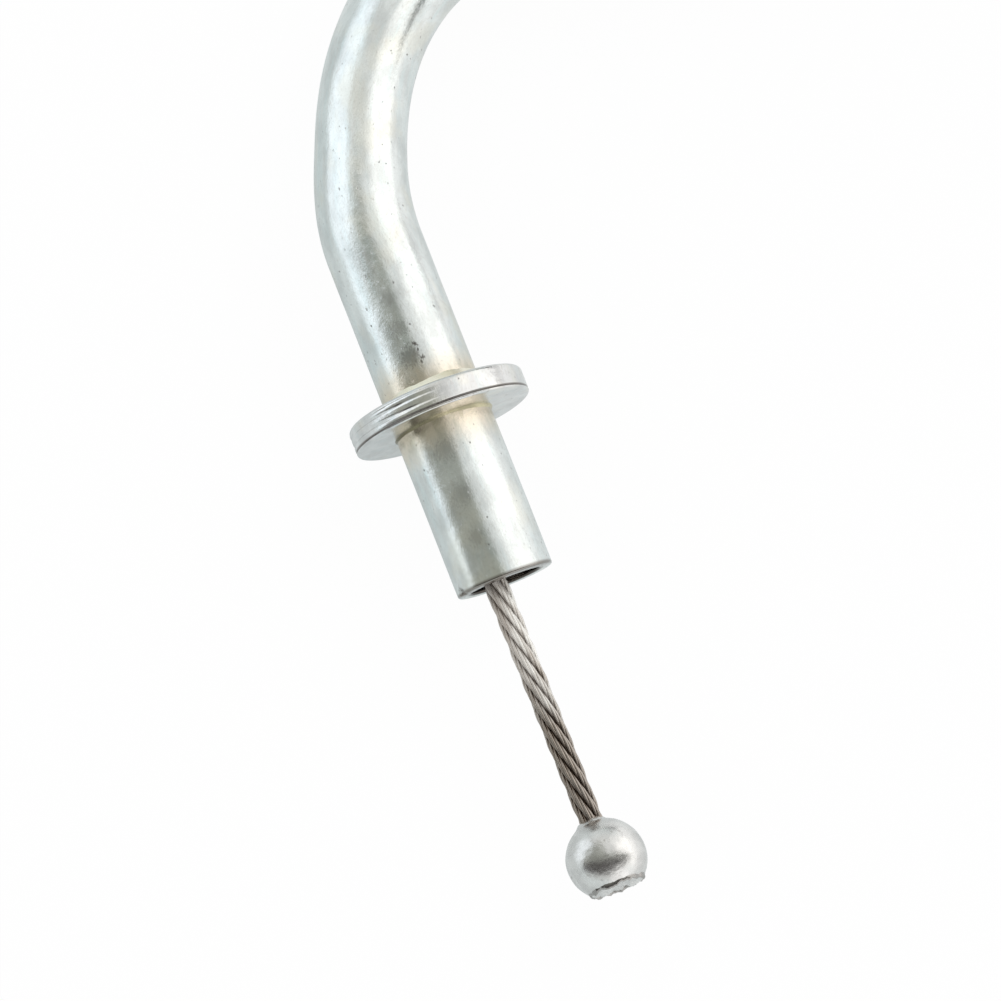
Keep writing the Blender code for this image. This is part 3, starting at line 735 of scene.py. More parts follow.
def elbow_ring(along, radius, outside=True):
    """A ring of the tube's outside or bore. Angles run from the bend's inside over the top."""
    centre, inward, flat = elbow_frame(along)
    ring = []
    for k in range(TUBE_SIDES):
        angle = tau * k / TUBE_SIDES
        there = radius + (tube_skin(along, angle) if outside else 0)
        point = centre + inward * (flat / 2 + (there - flat / 2) * cos(angle))
        point += UP * (there + flat / 6) * sin(angle)
        near_mouth = eased(1 - along / MOUTH_SKEW_RUN)
        point.y -= MOUTH_SKEW / 2 * (1 + sin(angle)) * near_mouth
        ring.append((point, (along, there * cos(angle), there * sin(angle))))
    return ring


def elbow_tube():
    outer, bore = TUBE_OD / 2, TUBE_OD / 2 - TUBE_WALL
    rings = []
    for k in range(LIP_STEPS):
        turn = pi / 2 * k / LIP_STEPS
        rings.append(elbow_ring(LIP_ROUND * (1 - cos(turn)), outer - LIP_ROUND * (1 - sin(turn))))
    run = TUBE_LENGTH - LIP_ROUND
    for share in shares(round(run / TUBE_STEP)):
        rings.append(elbow_ring(LIP_ROUND + run * share, outer))
    run = TUBE_LENGTH - BORE_LIP
    for share in shares(round(run / BORE_STEP))[:-1]:
        rings.append(elbow_ring(TUBE_LENGTH - run * share, bore, outside=False))
    for k in range(BORE_LIP_STEPS + 1):
        turn = pi / 2 * k / BORE_LIP_STEPS
        away = BORE_LIP * (1 - sin(turn))
        rings.append(elbow_ring(away, bore + BORE_LIP * (1 - cos(turn)), outside=False))
    tube = Body()
    tube.tube(rings, closed=True)
    tube.piece("elbow_tube_skin", TUBE_LOOK, "cable", "zinc_plate", nodes=("elbow_tube",))


elbow_tube()


# Flange, and the brazing on both sides of it

FLANGE_RADIUS = (flange_high.x - flange_low.x) / 2
FLANGE_THICKNESS = flange_high.y - flange_low.y
FLANGE_BORE = TUBE_OD / 2 + 0.02
FLANGE_GROOVES = ((0.62, 0.12, 0.085), (1.08, 0.1, 0.065), (1.36, 0.05, 0.03))
FRONT_FILLET = 0.22
BACK_FILLET = 0.78
FILLET_BURIED = 0.05    # its edges run into the tube and the flange
FILLET_SIDES = 144
FILLET_STEPS = 10
along_nose = straight((AXIS_X, SEAT_Y, AXIS_Z), (0, 1, 0), (1, 0, 0))


def flange_shape(along, radius, angle):
    """Turned lines around the rim, deeper on one side, and a slightly wavy skin."""
    around = Vector((cos(angle), sin(angle), along * 0.5))
    if radius < FLANGE_RADIUS - 0.6:
        return radius
    deeper = 0.06 + 0.94 * eased((0.42 - cos(angle)) / 1.1)
    depth = 0.012 + rough(around, 3.0, 0.008)
    depth += EDGE_LINE[2] * max(0, 1 - abs(along - EDGE_LINE[0]) / EDGE_LINE[1])
    for at, half, deep in FLANGE_GROOVES:
        wander = rough(around * 1.3 + Vector((at, 0, 0)), 1.0, 0.05)
        depth += deep * deeper * max(0, 1 - abs(along - at - wander) / half)
    return radius - depth


def flange():
    """Its profile is finer at the rim than on its faces."""
    corners = [
        (0, FLANGE_BORE, 0),
        (0, FLANGE_RADIUS, 0.16),
        (FLANGE_THICKNESS, FLANGE_RADIUS, 0.3),
        (FLANGE_THICKNESS, FLANGE_BORE, 0),
    ]
    profile = filled(rounded(corners, 7), 0.05)
    profile = [spot for k, spot in enumerate(profile) if spot[1] > FLANGE_RADIUS - 0.45 or k % 5 == 0]
    turned_piece(
        "flange_ring", FLANGE_LOOK, "flange_washer", "cable", "zinc_plate",
        along_nose, profile, 192, flange_shape,
    )


def brazing(name, look, seat, outward, fillet, seed):
    """A smooth fillet between the flange's face and the tube."""
    root = ((-0.05, fillet * 0.6), (-0.05, -0.1), (fillet * 0.3, -0.12))

    def spot(row, angle):
        if row < FILLET_STEPS:
            around = Vector((cos(angle), sin(angle), seed))
            size = fillet * (1 + rough(around, 1.4, 0.3)) + FILLET_BURIED
            turn = pi / 2 * row / (FILLET_STEPS - 1)
            lump = rough(around * 2 + Vector((0, 0, row * 0.12)), 1.0, 0.03) * sin(2 * turn)
            above = size * (1 - sin(turn)) - FILLET_BURIED + lump
            along = size * (1 - cos(turn)) - FILLET_BURIED + lump
        else:
            along, above = root[row - FILLET_STEPS]
        radius = TUBE_OD / 2 + above
        centre, side, other = along_nose(seat + outward * along)
        point = centre + (side * cos(angle) + other * sin(angle)) * radius
        return point, (along, radius * cos(angle), radius * sin(angle))

    made = Body()
    made.tube(skinned(FILLET_STEPS + len(root), FILLET_SIDES, spot), closed=True)
    made.piece(name, look, "cable", "zinc_plate", crease=80)


flange()
brazing("brazing_front", SHADED_BRAZING_LOOK, 0.0, -1, FRONT_FILLET, 3.0)
brazing("brazing_back", PALE_BRAZING_LOOK, FLANGE_THICKNESS, 1, BACK_FILLET, 8.0)


# Wire rope: six strands of seven wires about a core strand

ROPE_LAY = 11.3         # length of one turn of the outer strands
STRAND_LAY = 3.9        # of the wires in a strand, along the rope
ROPE_STEP = 0.18
ROPE_WIRE_SIDES = 8
STRAND_WIRES = 6        # about the middle one
ROPE_STRANDS = 6        # about the core
WIRE_SPREAD = 1.16      # worn wires lie closer than round ones


def rope(name, look, place, length, body, node):
    """A rope whose strands and wires are laid opposite ways, so that its wires run along it."""
    wire = WIRE_OD / 18
    steps = ceil(length / ROPE_STEP)
    made = Body()
    grooves = []
    for strand in range(ROPE_STRANDS + 1):
        strand_circle = 0 if strand == ROPE_STRANDS else WIRE_OD / 2 - (2 + WIRE_SPREAD) * wire
        for strand_wire in range(STRAND_WIRES + 1):
            wire_circle = 0 if strand_wire == STRAND_WIRES else wire * 2
            rings = []
            for k in range(steps + 1):
                along = length * k / steps
                turn = tau * (along / ROPE_LAY + strand / ROPE_STRANDS)
                swing = turn + tau * (strand_wire / STRAND_WIRES - along / STRAND_LAY)
                middle = spun(strand_circle, turn) + spun(wire_circle, swing)
                centre, side, other = place(along)
                ring = []
                for j in range(ROPE_WIRE_SIDES):
                    spot = middle + spun(wire * WIRE_SPREAD, tau * j / ROPE_WIRE_SIDES + turn)
                    ring.append((centre + side * spot.x + other * spot.y, (along, spot.x, spot.y)))
                    grooves.append(min(max((WIRE_OD / 2 - spot.length) / (wire * 2.6), 0), 1))
                rings.append(ring)
            first = len(made.points)
            made.tube(rings, caps=False)
            last = len(made.points) - ROPE_WIRE_SIDES
            made.faces += [range(start, start + ROPE_WIRE_SIDES) for start in (last, first)]
    piece = made.piece(name, look, body, "wire_rope", nodes=(node,), crease=80)
    held = piece.data.attributes.new("groove", "FLOAT", "POINT")
    held.data.foreach_set("value", grooves)


WIRE_X = (wire_low.x + wire_high.x) / 2
BALL_RADIUS = 2.44
BALL_CUT = 1.94         # from the ball's centre to the broken face
BALL_SHIFT = Vector((0.15, 0.05, 0))    # of the ball, off the wire's line in the mouth
BALL_CENTRE = Vector((WIRE_X, ball_low.y + BALL_CUT, AXIS_Z)) + BALL_SHIFT


def lever_rope_place(along):
    """The wire leans a little from the tube's mouth to the ball."""
    y = wire_high.y - along
    lean = max(0, (MOUTH_Y - y) / (MOUTH_Y - BALL_CENTRE.y)) * BALL_SHIFT.x
    return Vector((WIRE_X + lean, y, AXIS_Z)), Vector((1, 0, 0)), Vector((0, 0, -1))


rope("lever_rope", ROPE_LOOK, lever_rope_place, wire_high.y - wire_low.y, "ball_end", "lever_wire")


# Ball, cast on the wire, with its broken sprue

BALL_SIDES = 144
BALL_STEPS = 120
BALL_POLE = 0.02        # radians left open at each end of it, which a cap closes
BALL_FLAT = BALL_CENTRE.y - ball_low.y
BALL_SEAM = 0.028       # how far the mould's parting line stands out
COLLAR_RADIUS = 1.05
COLLAR_HEIGHT = 0.16
SPRUE_RADIUS = 1.8
FLASH_SIDES = 160
FLASH_STEPS = 12
FLASH_THICKNESS = 0.14
FLASH_TALL = 0.3


def ball_point(normal):
    """A point of the casting's skin for a direction from its centre."""
    there = BALL_RADIUS - 0.02 + rough(normal, 1.3, 0.025, 2) + rough(normal, 5.0, 0.007)
    off_seam = abs(normal.x * 0.35 + normal.z * 0.94 - 0.12 + rough(normal, 1.0, 0.03))
    there += BALL_SEAM * max(0, 1 - off_seam / 0.022)
    point = normal * there
    out = hypot(point.x - WIRE_X + BALL_CENTRE.x, point.z)
    if normal.y > 0.6:
        swell = COLLAR_HEIGHT + rough((point.x, point.z, 2), 1.5, 0.08)
        point.y += swell * eased((COLLAR_RADIUS - out) / 0.35)
    # The sprue is broken off: a stepped and torn face with a ragged rim that stands out
    tear = 0.12 * eased((point.x + 0.5) / 0.25) - 0.16 * eased((point.x - 0.55) / 0.2)
    torn = rough((point.x * 1.1, point.z * 1.1, 4), 1.6, 0.14)
    face = max(-BALL_FLAT + 0.16 + tear * 0.7 + torn, -BALL_FLAT + 0.015)
    point.y = max(point.y, face)
    return point


def ball():
    def spot(row, angle):
        tilt = BALL_POLE + (pi - 2 * BALL_POLE) * row / BALL_STEPS
        normal = Vector((sin(tilt) * cos(angle), cos(tilt), sin(tilt) * sin(angle)))
        point = ball_point(normal)
        return BALL_CENTRE + point, point

    made = Body()
    made.tube(skinned(BALL_STEPS + 1, BALL_SIDES, spot))
    made.piece("ball_casting", CAST_LOOK, "ball_end", "cast_zinc", nodes=("ball_nipple",), crease=50)


def sprue():
    """The torn lip of flash around the broken face."""
    def spot(row, angle):
        around = Vector((cos(angle), sin(angle), 0))
        lip = SPRUE_RADIUS + rough(around, 2.4, 0.1) - 0.02
        tall = FLASH_TALL + rough(around + Vector((0, 0, 5)), 2.2, 0.16) + rough(around, 9.0, 0.06)
        tall = min(max(tall, 0.08), 0.42)
        turn = pi * row / (FLASH_STEPS - 1)
        radius = lip - FLASH_THICKNESS * (1 - cos(turn)) + 0.02 * sin(turn)
        low = max(-BALL_FLAT + 0.44 - tall * sin(turn), -BALL_FLAT + 0.01)
        point = Vector((radius * cos(angle), low, radius * sin(angle)))
        return BALL_CENTRE + point, point

    made = Body()
    made.tube(skinned(FLASH_STEPS, FLASH_SIDES, spot), closed=True)
    made.piece("ball_flash", FLASH_LOOK, "ball_end", "cast_zinc", crease=45)


ball()
sprue()


# Ferrule and boot between the elbow tube and the casing

FERRULE_STEP = tube_high.x + 0.15
FERRULE_BIG = half_width("elbow_ferrule")
FERRULE_WALL = 0.5
FERRULE_CRIMPS = (1.0, 2.3)     # from its mouth
BOOT_COLLAR = half_width("elbow_boot")
BOOT_COLLAR_LENGTH = 4.0
BOOT_BODY = 5.0
BOOT_TIP = 3.6
BOOT_GROOVES = 3
GROOVE_PITCH = 4.0
SEAM_HALF = 0.12        # of the boot's parting line
along_casing = straight((0, CASING_Y, AXIS_Z), (1, 0, 0), (0, 1, 0))


def crimped(along, radius, angle):
    """Two rolled grooves and a ring of small dents near the ferrule's mouth."""
    if radius < TUBE_OD / 2 + 0.2:
        return radius
    from_mouth = along - ferrule_low.x
    depth = sum(0.16 * eased(1 - abs(from_mouth - at) / 0.35) for at in FERRULE_CRIMPS)
    return radius - depth * (0.86 + 0.14 * cos(8 * angle)) + skin(from_mouth, angle, 2, 0.006)


def elbow_ferrule():
    inner = TUBE_OD / 2 + 0.06
    neck = CASING_OD / 2 + 0.03
    small = neck + 0.25 + FERRULE_WALL
    corners = [
        (ferrule_low.x, inner, 0.1),
        (ferrule_low.x, FERRULE_BIG, 0.22),
        (FERRULE_STEP, FERRULE_BIG, 0.3),
        (FERRULE_STEP + 1.0, small, 0.3),
        (ferrule_high.x, small, 0.15),
        (ferrule_high.x, neck, 0.1),
        (FERRULE_STEP, neck, 0),
        (FERRULE_STEP, inner, 0),
    ]
    turned_piece(
        "ferrule_sleeve", PLATE_LOOK, "elbow_ferrule", "cable", "zinc_plate",
        along_casing, filled(rounded(corners), 0.12), 96, crimped,
    )


def boot_shape(along, radius, angle):
    """The mould's parting line and a soft waviness of the rubber."""
    if radius < FERRULE_BIG + 0.2 and along < boot_low.x + 3 or radius < 2.9:
        return radius
    seam = 0.05 * max(0, 1 - abs(sin(angle)) * radius / SEAM_HALF)
    return radius - 0.04 + skin(along * 0.4, angle, 1, 0.03, 2) + seam


def elbow_boot():
    start, end = boot_low.x, boot_high.x
    collar = start + BOOT_COLLAR_LENGTH
    taper_from = collar + 1.0
    floor_at = collar + 0.2
    loose, snug = FERRULE_BIG + 0.04, CASING_OD / 2 + 0.04
    corners = [
        (start, loose, 0.2),
        (start, BOOT_COLLAR, 0.8),
        (collar, BOOT_COLLAR, 0.7),
        (collar, BOOT_BODY, 0.35),
    ]
    for k in range(BOOT_GROOVES):
        at = taper_from + 2.0 + k * GROOVE_PITCH
        here = BOOT_BODY + (BOOT_TIP - BOOT_BODY) * (at + 0.5 - taper_from) / (end - taper_from)
        corners += [
            (at - 0.15, here + 0.02, 0.3),
            (at + 0.25, here - 0.5, 0.18),
            (at + 0.75, here - 0.5, 0.18),
            (at + 1.15, here - 0.02, 0.3),
        ]
    corners += [(end, BOOT_TIP, 0.55), (end, snug, 0.15), (floor_at, snug, 0), (floor_at, loose, 0)]
    turned_piece(
        "boot_rubber_shell", RUBBER_LOOK, "elbow_boot", "cable", "black_rubber",
        along_casing, filled(rounded(corners, 6), 0.25), 96, boot_shape,
    )


elbow_ferrule()
elbow_boot()


# Ties around the coil

TIE_HEAD = Vector((4.4, 3.6, 3.0))
TIE_PAWL = Vector((1.1, 1.7, 0.3))
TIE_SPAN_STEPS = 120
TIE_TAIL = Vector((2.2, TIE_WIDTH - 0.1, TIE_THICKNESS))
TIE_EDGE = TIE_THICKNESS * 0.3
TIE_RIM = 0.35          # between the strap's edge and its teeth
TOOTH_PITCH = 1.0
TOOTH_DEPTH = 0.07


def coil_sections(angle):
    """(radius, height) of every turn where a half plane at that angle cuts the coil."""
    found = []
    turn = angle + 360 * ceil((COIL_START - angle) / 360)
    while turn <= COIL_END:
        found.append((coil_radius(turn), coil_height(turn)))
        turn += 360
    return found


def tie_outline(angle, margin):
    """The taut line around the turns, as (radius, height), from the outermost point over the top."""
    sections = coil_sections(angle)
    outline = []
    for k in range(TIE_SPAN_STEPS):
        out = spun(1, tau * k / TIE_SPAN_STEPS)
        held = max(sections, key=lambda c: c[0] * out.x + c[1] * out.y)
        outline.append(Vector(held) + out * (CASING_OD / 2 + margin))
    return outline


def rounded_box(made, place, size, rounding, steps=4):
    """A block with rounded edges, its middle at the place function's origin."""
    half = size / 2
    cuts = []
    for axis in range(3):
        line = [-half[axis] + rounding * (1 - cos(pi / 2 * k / steps)) for k in range(steps + 1)]
        cuts.append(line + [-x for x in reversed(line)])
    last = len(cuts[0]) - 1
    at = {}

    def corner(*spot):
        if spot not in at:
            raw = Vector([cut[k] for cut, k in zip(cuts, spot)])
            core = Vector([min(max(c, rounding - h), h - rounding) for c, h in zip(raw, half)])
            out = raw - core
            point = core + out.normalized() * rounding if out.length > 1e-9 else raw
            at[spot] = made.add(place(point), point)
        return at[spot]

    for i in range(last):
        for j in range(last):
            square = ((i, j), (i + 1, j), (i + 1, j + 1), (i, j + 1))
            for end in (0, last):
                made.faces.append([corner(a, b, end) for a, b in square])
                made.faces.append([corner(a, end, b) for a, b in square])
                made.faces.append([corner(end, a, b) for a, b in square])


def coil_tie(number, angle):
    """A ratchet tie pulled tight around the turns, with its block on top and its tail cut short."""
    turn = radians(angle)
    out = Vector((cos(turn), sin(turn), 0))
    side = Vector((-sin(turn), cos(turn), 0))
    inner, outer = tie_outline(angle, 0.0), tie_outline(angle, TIE_THICKNESS)
    half = TIE_WIDTH / 2
    rings = []
    along = 0
    for k, (low, high) in enumerate(zip(inner, outer)):
        along += (inner[k] - inner[k - 1]).length if k else 0
        tooth = TOOTH_DEPTH * (0.5 + 0.5 * sin(tau * along / TOOTH_PITCH))
        right = [
            (low, half - TIE_EDGE),
            (low.lerp(high, 0.3), half),
            (low.lerp(high, 0.75), half),
            (high, half - TIE_EDGE),
            (high, half - TIE_RIM),
            (high.lerp(low, tooth / TIE_THICKNESS), half - TIE_RIM - 0.08),
        ]
        spots = right + [(p, -across) for p, across in reversed(right)]
        rings.append([
            (COIL_CENTRE + out * p.x + side * across + UP * p.y, (along, p.y, across))
            for p, across in spots
        ])
    strap = Body()
    strap.tube(rings, closed=True)
    top = max(p.y for p in outer)
    flat = [p.x for p in outer if p.y > top - 0.02]
    block = COIL_CENTRE + out * ((max(flat) + min(flat)) / 2) + UP * (top + TIE_HEAD.z / 2 - 0.1)

    def at_block(x, y, z):
        return block + out * x + side * y + UP * z

    def in_block(point):
        """The block leans in a little towards its top and is hollowed where the strap goes in."""
        lean = 1 - 0.06 * (point.z / TIE_HEAD.z + 0.5)
        hollow = point.x > TIE_HEAD.x / 2 - 0.5 and abs(point.y) < half and point.z < 0
        return at_block((point.x - (0.35 if hollow else 0)) * lean, point.y * lean, point.z)

    def in_pawl(point):
        return at_block(point.x - 0.9, point.y, point.z + TIE_HEAD.z / 2 - 0.05)

    def in_tail(point):
        rise = 0.25 + (point.x + TIE_TAIL.x / 2) * 0.12
        return at_block(point.x + (TIE_HEAD.x + TIE_TAIL.x) / 2 - 0.5, point.y, point.z + rise)

    rounded_box(strap, in_block, TIE_HEAD, 0.45)
    rounded_box(strap, in_pawl, TIE_PAWL, 0.12, 2)
    rounded_box(strap, in_tail, TIE_TAIL, 0.14, 2)
    name = f"tie_strap_{number}"
    strap.piece(name, NYLON_LOOK, "cable", "black_nylon", nodes=(f"coil_tie_{number}",), crease=50)
    return name


tie_names = [coil_tie(k + 1, angle) for k, angle in enumerate(TIE_ANGLES)]


# Carburettor end: every piece turned about one line along -X

THREAD_PITCH = 1.0
THREAD_OD = 6.0
THREAD_DEPTH = 0.5
THREAD_LEAD = 0.7       # how far the screw's end is chamfered
THREAD_NECK = 1.2       # between the head and the thread
HEAD_FLATS = 9.0
HEAD_LENGTH = 9.0
SOCKET_DEPTH = 6.0
ADJUSTER_BORE = 2.4
NUT_FLATS = 10.0
NUT_CHAMFER = 0.35
CAP_FLOOR = 2.4
CAP_CRIMP = 1.7         # from its mouth
SLEEVE_TIP = 2.2
SLEEVE_SOCKET = 4.3
SLEEVE_GROOVE_PITCH = 2.4
along_fitting = straight((0, FITTING_Y, FITTING_Z), (-1, 0, 0), (0, 1, 0))


def fitting_span(node):
    """Where a node starts and ends along the line, which runs along -X."""
    low, high = node_box(node)
    return -high.x, -low.x


def thread_height(along, angle):
    """0 at a thread's root to 1 at its crest, for a right-hand thread."""
    phase = (along / THREAD_PITCH - angle / tau) % 1
    slope = abs(phase - 0.5) * 2
    return min(max((slope - 0.1) / 0.72, 0), 1)


def fitting_piece(name, look, node, body, slot, corners, shape, sides=96):
    profile = filled(rounded(corners), 0.3)
    return turned_piece(name, look, node, body, slot, along_fitting, profile, sides, shape)


def casing_cap():
    start, end = fitting_span("casing_cap")
    radius = half_width("casing_cap")
    neck = CASING_OD / 2 + 0.03

    def shape(along, radius, angle):
        """Crimped by six jaws behind its mouth."""
        if radius < CASING_OD / 2 + 0.2:
            return radius
        dent = 0.13 * eased(1 - abs(along - start - CAP_CRIMP) / 0.7)
        return radius - dent * (0.55 + 0.45 * cos(6 * angle)) + skin(along, angle, 2, 0.005)

    corners = [
        (start, neck, 0.12),
        (start, radius, 0.25),
        (end, radius, 0.45),
        (end, ADJUSTER_BORE / 2, 0.2),
        (end - CAP_FLOOR, ADJUSTER_BORE / 2, 0),
        (end - CAP_FLOOR, neck, 0),
    ]
    return fitting_piece("cap_cup", PLATE_LOOK, "casing_cap", "cable", "zinc_plate", corners, shape)


def adjuster_screw():
    start, end = fitting_span("adjuster_screw")
    head_end = start + HEAD_LENGTH
    socket = half_width("casing_cap") + 0.04
    bore, outer = ADJUSTER_BORE / 2, THREAD_OD / 2
    bar = hexagon(HEAD_FLATS, start, head_end)

    def shape(along, radius, angle):
        if radius > HEAD_FLATS * 0.45 and along < head_end + 0.01:
            return bar(along, radius, angle)
        if radius > outer - 0.1 and along > head_end + 0.3:
            fade = eased((along - head_end - THREAD_NECK) / 0.8)
            cut = THREAD_DEPTH * (1 - thread_height(along, angle)) * fade
            lead = max(0, along - end + THREAD_LEAD) * 0.75
            return min(radius - cut, outer - lead) - 0.01
        return radius

    thread_from = head_end + 0.25
    run = end - thread_from
    profile = [(start, socket), (start, HEAD_FLATS * 0.458)]
    profile += hexagon_run(start, head_end, HEAD_FLATS, 0.12, 7)
    profile += [(head_end, HEAD_FLATS * 0.44), (head_end, outer + 0.25), (head_end + 0.08, outer + 0.08)]
    steps = ceil(run / (THREAD_PITCH / 10))
    profile += [(thread_from + run * share, outer) for share in shares(steps)]
    profile += [(end, bore + 0.15), (end - 0.15, bore)]
    profile += [(start + SOCKET_DEPTH, bore), (start + SOCKET_DEPTH, socket)]
    return turned_piece(
        "adjuster", PLATE_LOOK, "adjuster_screw", "cable", "zinc_plate",
        along_fitting, profile, 120, shape, crease=32,
    )


def lock_nut(name, node, body):
    start, end = fitting_span(node)
    bore, face = THREAD_OD / 2 + 0.03, NUT_FLATS * 0.47
    profile = [(start + NUT_CHAMFER, bore), (start, bore + NUT_CHAMFER), (start, face)]
    profile += hexagon_run(start, end, NUT_FLATS, 0.1, 9)
    profile += [(end, face), (end, bore + NUT_CHAMFER), (end - NUT_CHAMFER, bore)]
    return turned_piece(
        name, PLATE_LOOK, node, body, "zinc_plate",
        along_fitting, profile, 144, hexagon(NUT_FLATS, start, end), crease=32,
    )


def washer(name, node, body):
    start, end = fitting_span(node)
    bore, radius = THREAD_OD / 2 + 0.2, half_width(node)
    corners = [(start, bore, 0.12), (start, radius, 0.3), (end, radius, 0.12), (end, bore, 0.12)]

    def shape(along, radius, angle):
        return radius + skin(along, angle, 3, 0.006) - 0.004

    return fitting_piece(name, PLATE_LOOK, node, body, "zinc_plate", corners, shape, 128)


def dust_sleeve():
    start, end = fitting_span("dust_sleeve")
    wide = half_width("dust_sleeve")
    hole, socket = WIRE_OD / 2 + 0.08, THREAD_OD / 2 + 0.03
    corners = [(start, socket, 0.2), (start, wide, 0.5)]
    for k in range(2):
        at = start + SLEEVE_GROOVE_PITCH * (k + 1)
        corners += [
            (at, wide, 0.35),
            (at + 0.45, wide - 0.75, 0.18),
            (at + 0.75, wide - 0.75, 0.18),
            (at + 1.2, wide, 0.35),
        ]
    corners += [
        (end - 2.4, SLEEVE_TIP + 0.7, 0.6),
        (end, SLEEVE_TIP, 0.45),
        (end, hole, 0.12),
        (start + SLEEVE_SOCKET, hole, 0),
        (start + SLEEVE_SOCKET, socket, 0),
    ]

    def shape(along, radius, angle):
        if radius < THREAD_OD / 2 + 0.1 and along < start + SLEEVE_SOCKET + 0.2 or radius < 1.2:
            return radius
        return radius - 0.02 + skin(along * 0.6, angle, 1, 0.02)

    return fitting_piece(
        "sleeve_rubber", RUBBER_LOOK, "dust_sleeve", "cable", "black_rubber", corners, shape,
    )


def carb_barrel():
    start, end = fitting_span("carb_barrel")
    radius = half_width("carb_barrel")
    corners = [
        (start, 0.3, 0),
        (start, radius, 0.45),
        (end, radius, 0.45),
        (end, 0.95, 0.15),
        (end - 0.18, 0.8, 0.1),
        (end - 0.18, 0.3, 0),
    ]

    def shape(along, radius, angle):
        """The mould's parting line."""
        seam = 0.03 * max(0, 1 - abs(sin(angle)) * radius / 0.07) if radius > 1.4 else 0
        return radius - 0.03 + seam + skin(along, angle, 2, 0.012)

    return fitting_piece(
        "barrel_casting", CAST_LOOK, "carb_barrel", "carb_end", "cast_zinc", corners, shape, 120,
    )


carb_wire_low, carb_wire_high = node_box("carb_wire")
carb_rope_place = straight((carb_wire_high.x, FITTING_Y, FITTING_Z), (-1, 0, 0), (0, 1, 0))
rope(
    "carb_rope", CARB_ROPE_LOOK, carb_rope_place, carb_wire_high.x - carb_wire_low.x,
    "carb_end", "carb_wire",
)
fitting_names = [
    casing_cap(),
    adjuster_screw(),
    lock_nut("nut_inner", "lock_nut_inner", "inner_nut"),
    washer("washer_inner_disc", "washer_inner", "inner_washer"),
    lock_nut("nut_outer", "lock_nut_outer", "outer_nut"),
    washer("washer_outer_disc", "washer_outer", "outer_washer"),
    dust_sleeve(),
    "carb_rope",
    carb_barrel(),
]


# Floor, world and lamps

FLOOR_HALF = 3000.0
FLOOR_GLOW_SEEN = 0.96
FLOOR_GLOW_MIRRORED = 0.6
FLOOR_DIM = (0.57, 0.65, 0.66)          # what metal mirrors of it on the shaded side
FLOOR_BRIGHT = (1.12, 1.14, 1.14)       # and on the side of the key lamp
FLOOR_DIM_X, FLOOR_BRIGHT_X = -30.0, 12.0
CARD_HEIGHT = 60.0
CARD_X = (-330.0, -200.0, -20.0, -8.0)  # its edges fade from the first to the second, and again
CARD_Y = (-104.0, -68.0, 21.0, 27.0)
CARD_SLANT = 4.5                        # how far its right edge moves out for each mm nearer the ball
CARD_SLANT_Y = -25.0
CARD_TONE = (0.36, 0.375, 0.34)
CARD_DEEP = (0.08, 0.075, 0.075)        # nearer the ball
CARD_DEEP_Y = (-26.0, -50.0)
CARD_DEEP_SLOPE = 0.2
SKY_TONE = (0.76, 0.84, 0.85)
SKY_PATCHES = (
    # towards, degrees to its inner and outer edge, colour that metal mirrors
    ((0, 0, 1), 55, 90, (0.82, 0.84, 0.83)),
    ((-0.72, 0.46, 0.48), 22, 38, (1.16, 1.24, 1.3)),
    ((0.45, -0.4, 0.75), 14, 30, (1.2, 1.2, 1.18)),
    ((0.9, 0.05, 0.22), 24, 56, (1.42, 1.42, 1.4)),
    ((0.25, -0.93, 0.16), 14, 34, (1.25, 1.25, 1.25)),
)
SKY_PLAIN = (0.8, 0.8, 0.8)             # what lights everything else
WHITE = (1, 1, 1)


def stage_sheet(name, look, x, y, height=0.0):
    """A flat rectangle of the stage, and the nodes of its material."""
    mesh = bpy.data.meshes.new(name)
    corners = ((x[0], y[0]), (x[1], y[0]), (x[1], y[1]), (x[0], y[1]))
    mesh.from_pydata([Vector((*corner, height)) * MM for corner in corners], [], [(0, 1, 2, 3)])
    made = scene_object(name, mesh)
    material = bpy.data.materials.new(look)
    mesh.materials.append(material)
    tree = Tree(material)
    place = tree.node("ShaderNodeNewGeometry")["Position"]
    return made, tree, tree.part(place, "X"), tree.part(place, "Y")


def floor_piece():
    span = (-FLOOR_HALF, FLOOR_HALF)
    made, tree, x, y = stage_sheet("floor", "floor_white", span, span)
    shader = tree.nodes["Principled BSDF"]
    tree.plug((0.9, 0.9, 0.9), shader.inputs["Base Color"])
    tree.plug(0.9, shader.inputs["Roughness"])
    rays = tree.node("ShaderNodeLightPath")
    tone = tree.mix(tree.step(x, FLOOR_DIM_X * MM, FLOOR_BRIGHT_X * MM), FLOOR_DIM, FLOOR_BRIGHT)
    seen = tree.mix(rays["Is Glossy Ray"], WHITE, tone)
    glow = tree.node("ShaderNodeEmission", {"Color": seen})[0]
    mirrored = tree.times(rays["Is Glossy Ray"], FLOOR_GLOW_MIRRORED)
    share = tree.math("MULTIPLY_ADD", rays["Is Camera Ray"], FLOOR_GLOW_SEEN, mirrored)
    tree.surface(share, shader.outputs[0], glow)


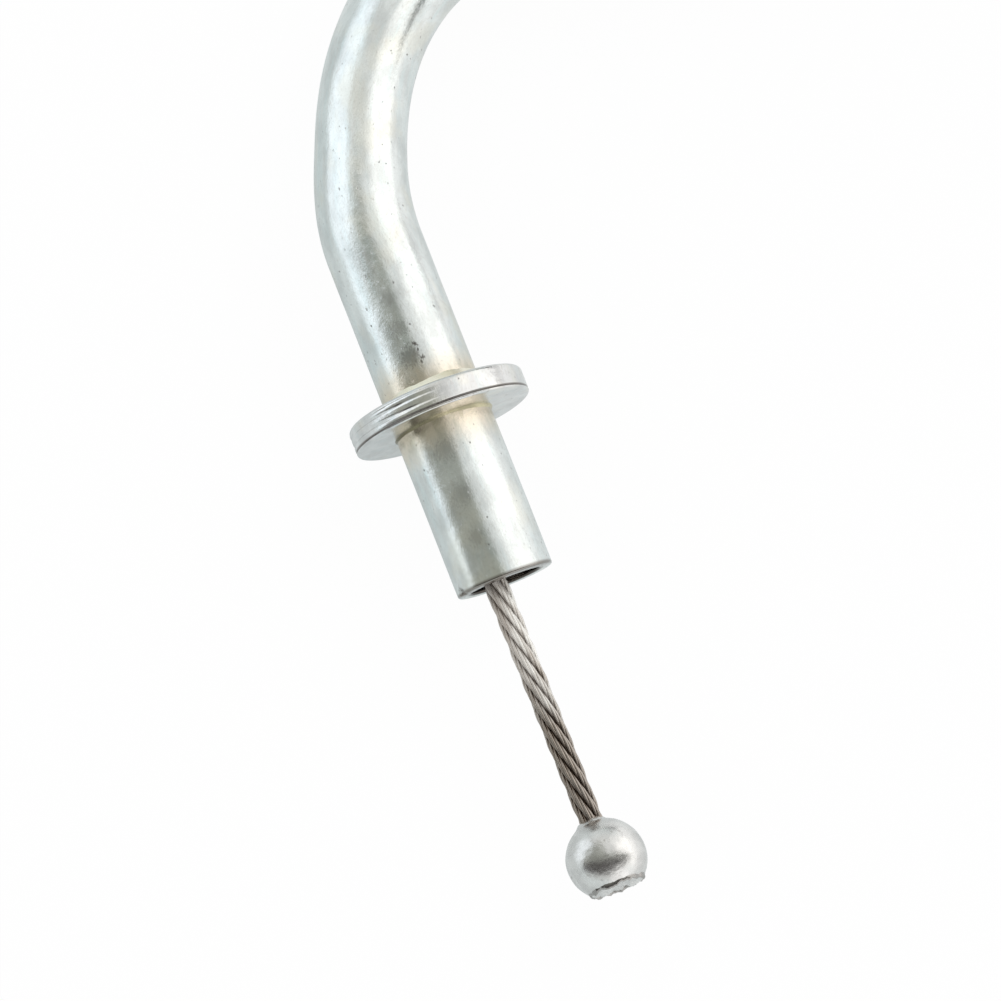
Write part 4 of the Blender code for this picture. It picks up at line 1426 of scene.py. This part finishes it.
def dark_card():
    """A grey studio card over the lever end, which only the metal mirrors."""
    high_x = CARD_X[3] - CARD_SLANT * (CARD_Y[0] - CARD_SLANT_Y)
    made, tree, x, y = stage_sheet(
        "dark_card", "card_grey", (CARD_X[0], high_x), (CARD_Y[0], CARD_Y[3]), CARD_HEIGHT,
    )
    made.visible_camera = False
    made.visible_diffuse = False
    made.visible_shadow = False
    made.visible_transmission = False
    tree.nodes.remove(tree.nodes["Principled BSDF"])

    def fade(value, low, high):
        return tree.step(value, low * MM, high * MM)

    nearer = tree.math("MINIMUM", tree.math("SUBTRACT", y, CARD_SLANT_Y * MM), 0.0)
    slanted = tree.math("ADD", x, tree.times(nearer, CARD_SLANT))
    share = tree.times(fade(x, CARD_X[0], CARD_X[1]), fade(slanted, CARD_X[3], CARD_X[2]))
    share = tree.times(share, tree.times(fade(y, CARD_Y[0], CARD_Y[1]), fade(y, CARD_Y[3], CARD_Y[2])))
    sloped = tree.times(tree.math("SUBTRACT", x, AXIS_X * MM), CARD_DEEP_SLOPE)
    tone = tree.mix(fade(tree.math("ADD", y, sloped), *CARD_DEEP_Y), CARD_TONE, CARD_DEEP)
    glow = tree.node("ShaderNodeEmission", {"Color": tone})[0]
    tree.surface(share, tree.node("ShaderNodeBsdfTransparent")[0], glow)


def studio_world():
    """White surroundings with a few soft patches for the metal to mirror."""
    world = bpy.data.worlds.new("studio")
    bpy.context.scene.world = world
    tree = Tree(world)
    direction = tree.node("ShaderNodeTexCoord")["Generated"]
    sky = SKY_TONE
    for towards, inner, outer, colour in SKY_PATCHES:
        facing = tree.vector("DOT_PRODUCT", direction, Vector(towards).normalized())
        sky = tree.mix(tree.step(facing, cos(radians(outer)), cos(radians(inner))), sky, colour)
    rays = tree.node("ShaderNodeLightPath")
    plain = tree.mix(rays["Is Glossy Ray"], SKY_PLAIN, sky)
    seen = tree.mix(rays["Is Camera Ray"], plain, WHITE)
    tree.plug(seen, tree.nodes["Background"].inputs["Color"])


def lamp(name, towards, size, power):
    data = bpy.data.lights.new(name, "AREA")
    data.shape = "DISK"
    data.size = size
    data.energy = power
    made = scene_object(name, data)
    away = Vector(towards).normalized()
    made.location = away * LAMP_DISTANCE
    made.rotation_mode = "QUATERNION"
    made.rotation_quaternion = away.to_track_quat("Z", "Y")
    made.visible_camera = False
    made.visible_glossy = False


LAMP_DISTANCE = 1.2
floor_piece()
dark_card()
studio_world()
casing_piece.visible_glossy = False     # the photograph's metal mirrors no casing
lamp("key_lamp", (0.8, 0.4, 1.0), 0.7, 3.0)
lamp("fill_lamp", (-0.9, -0.1, 0.8), 0.8, 1.2)
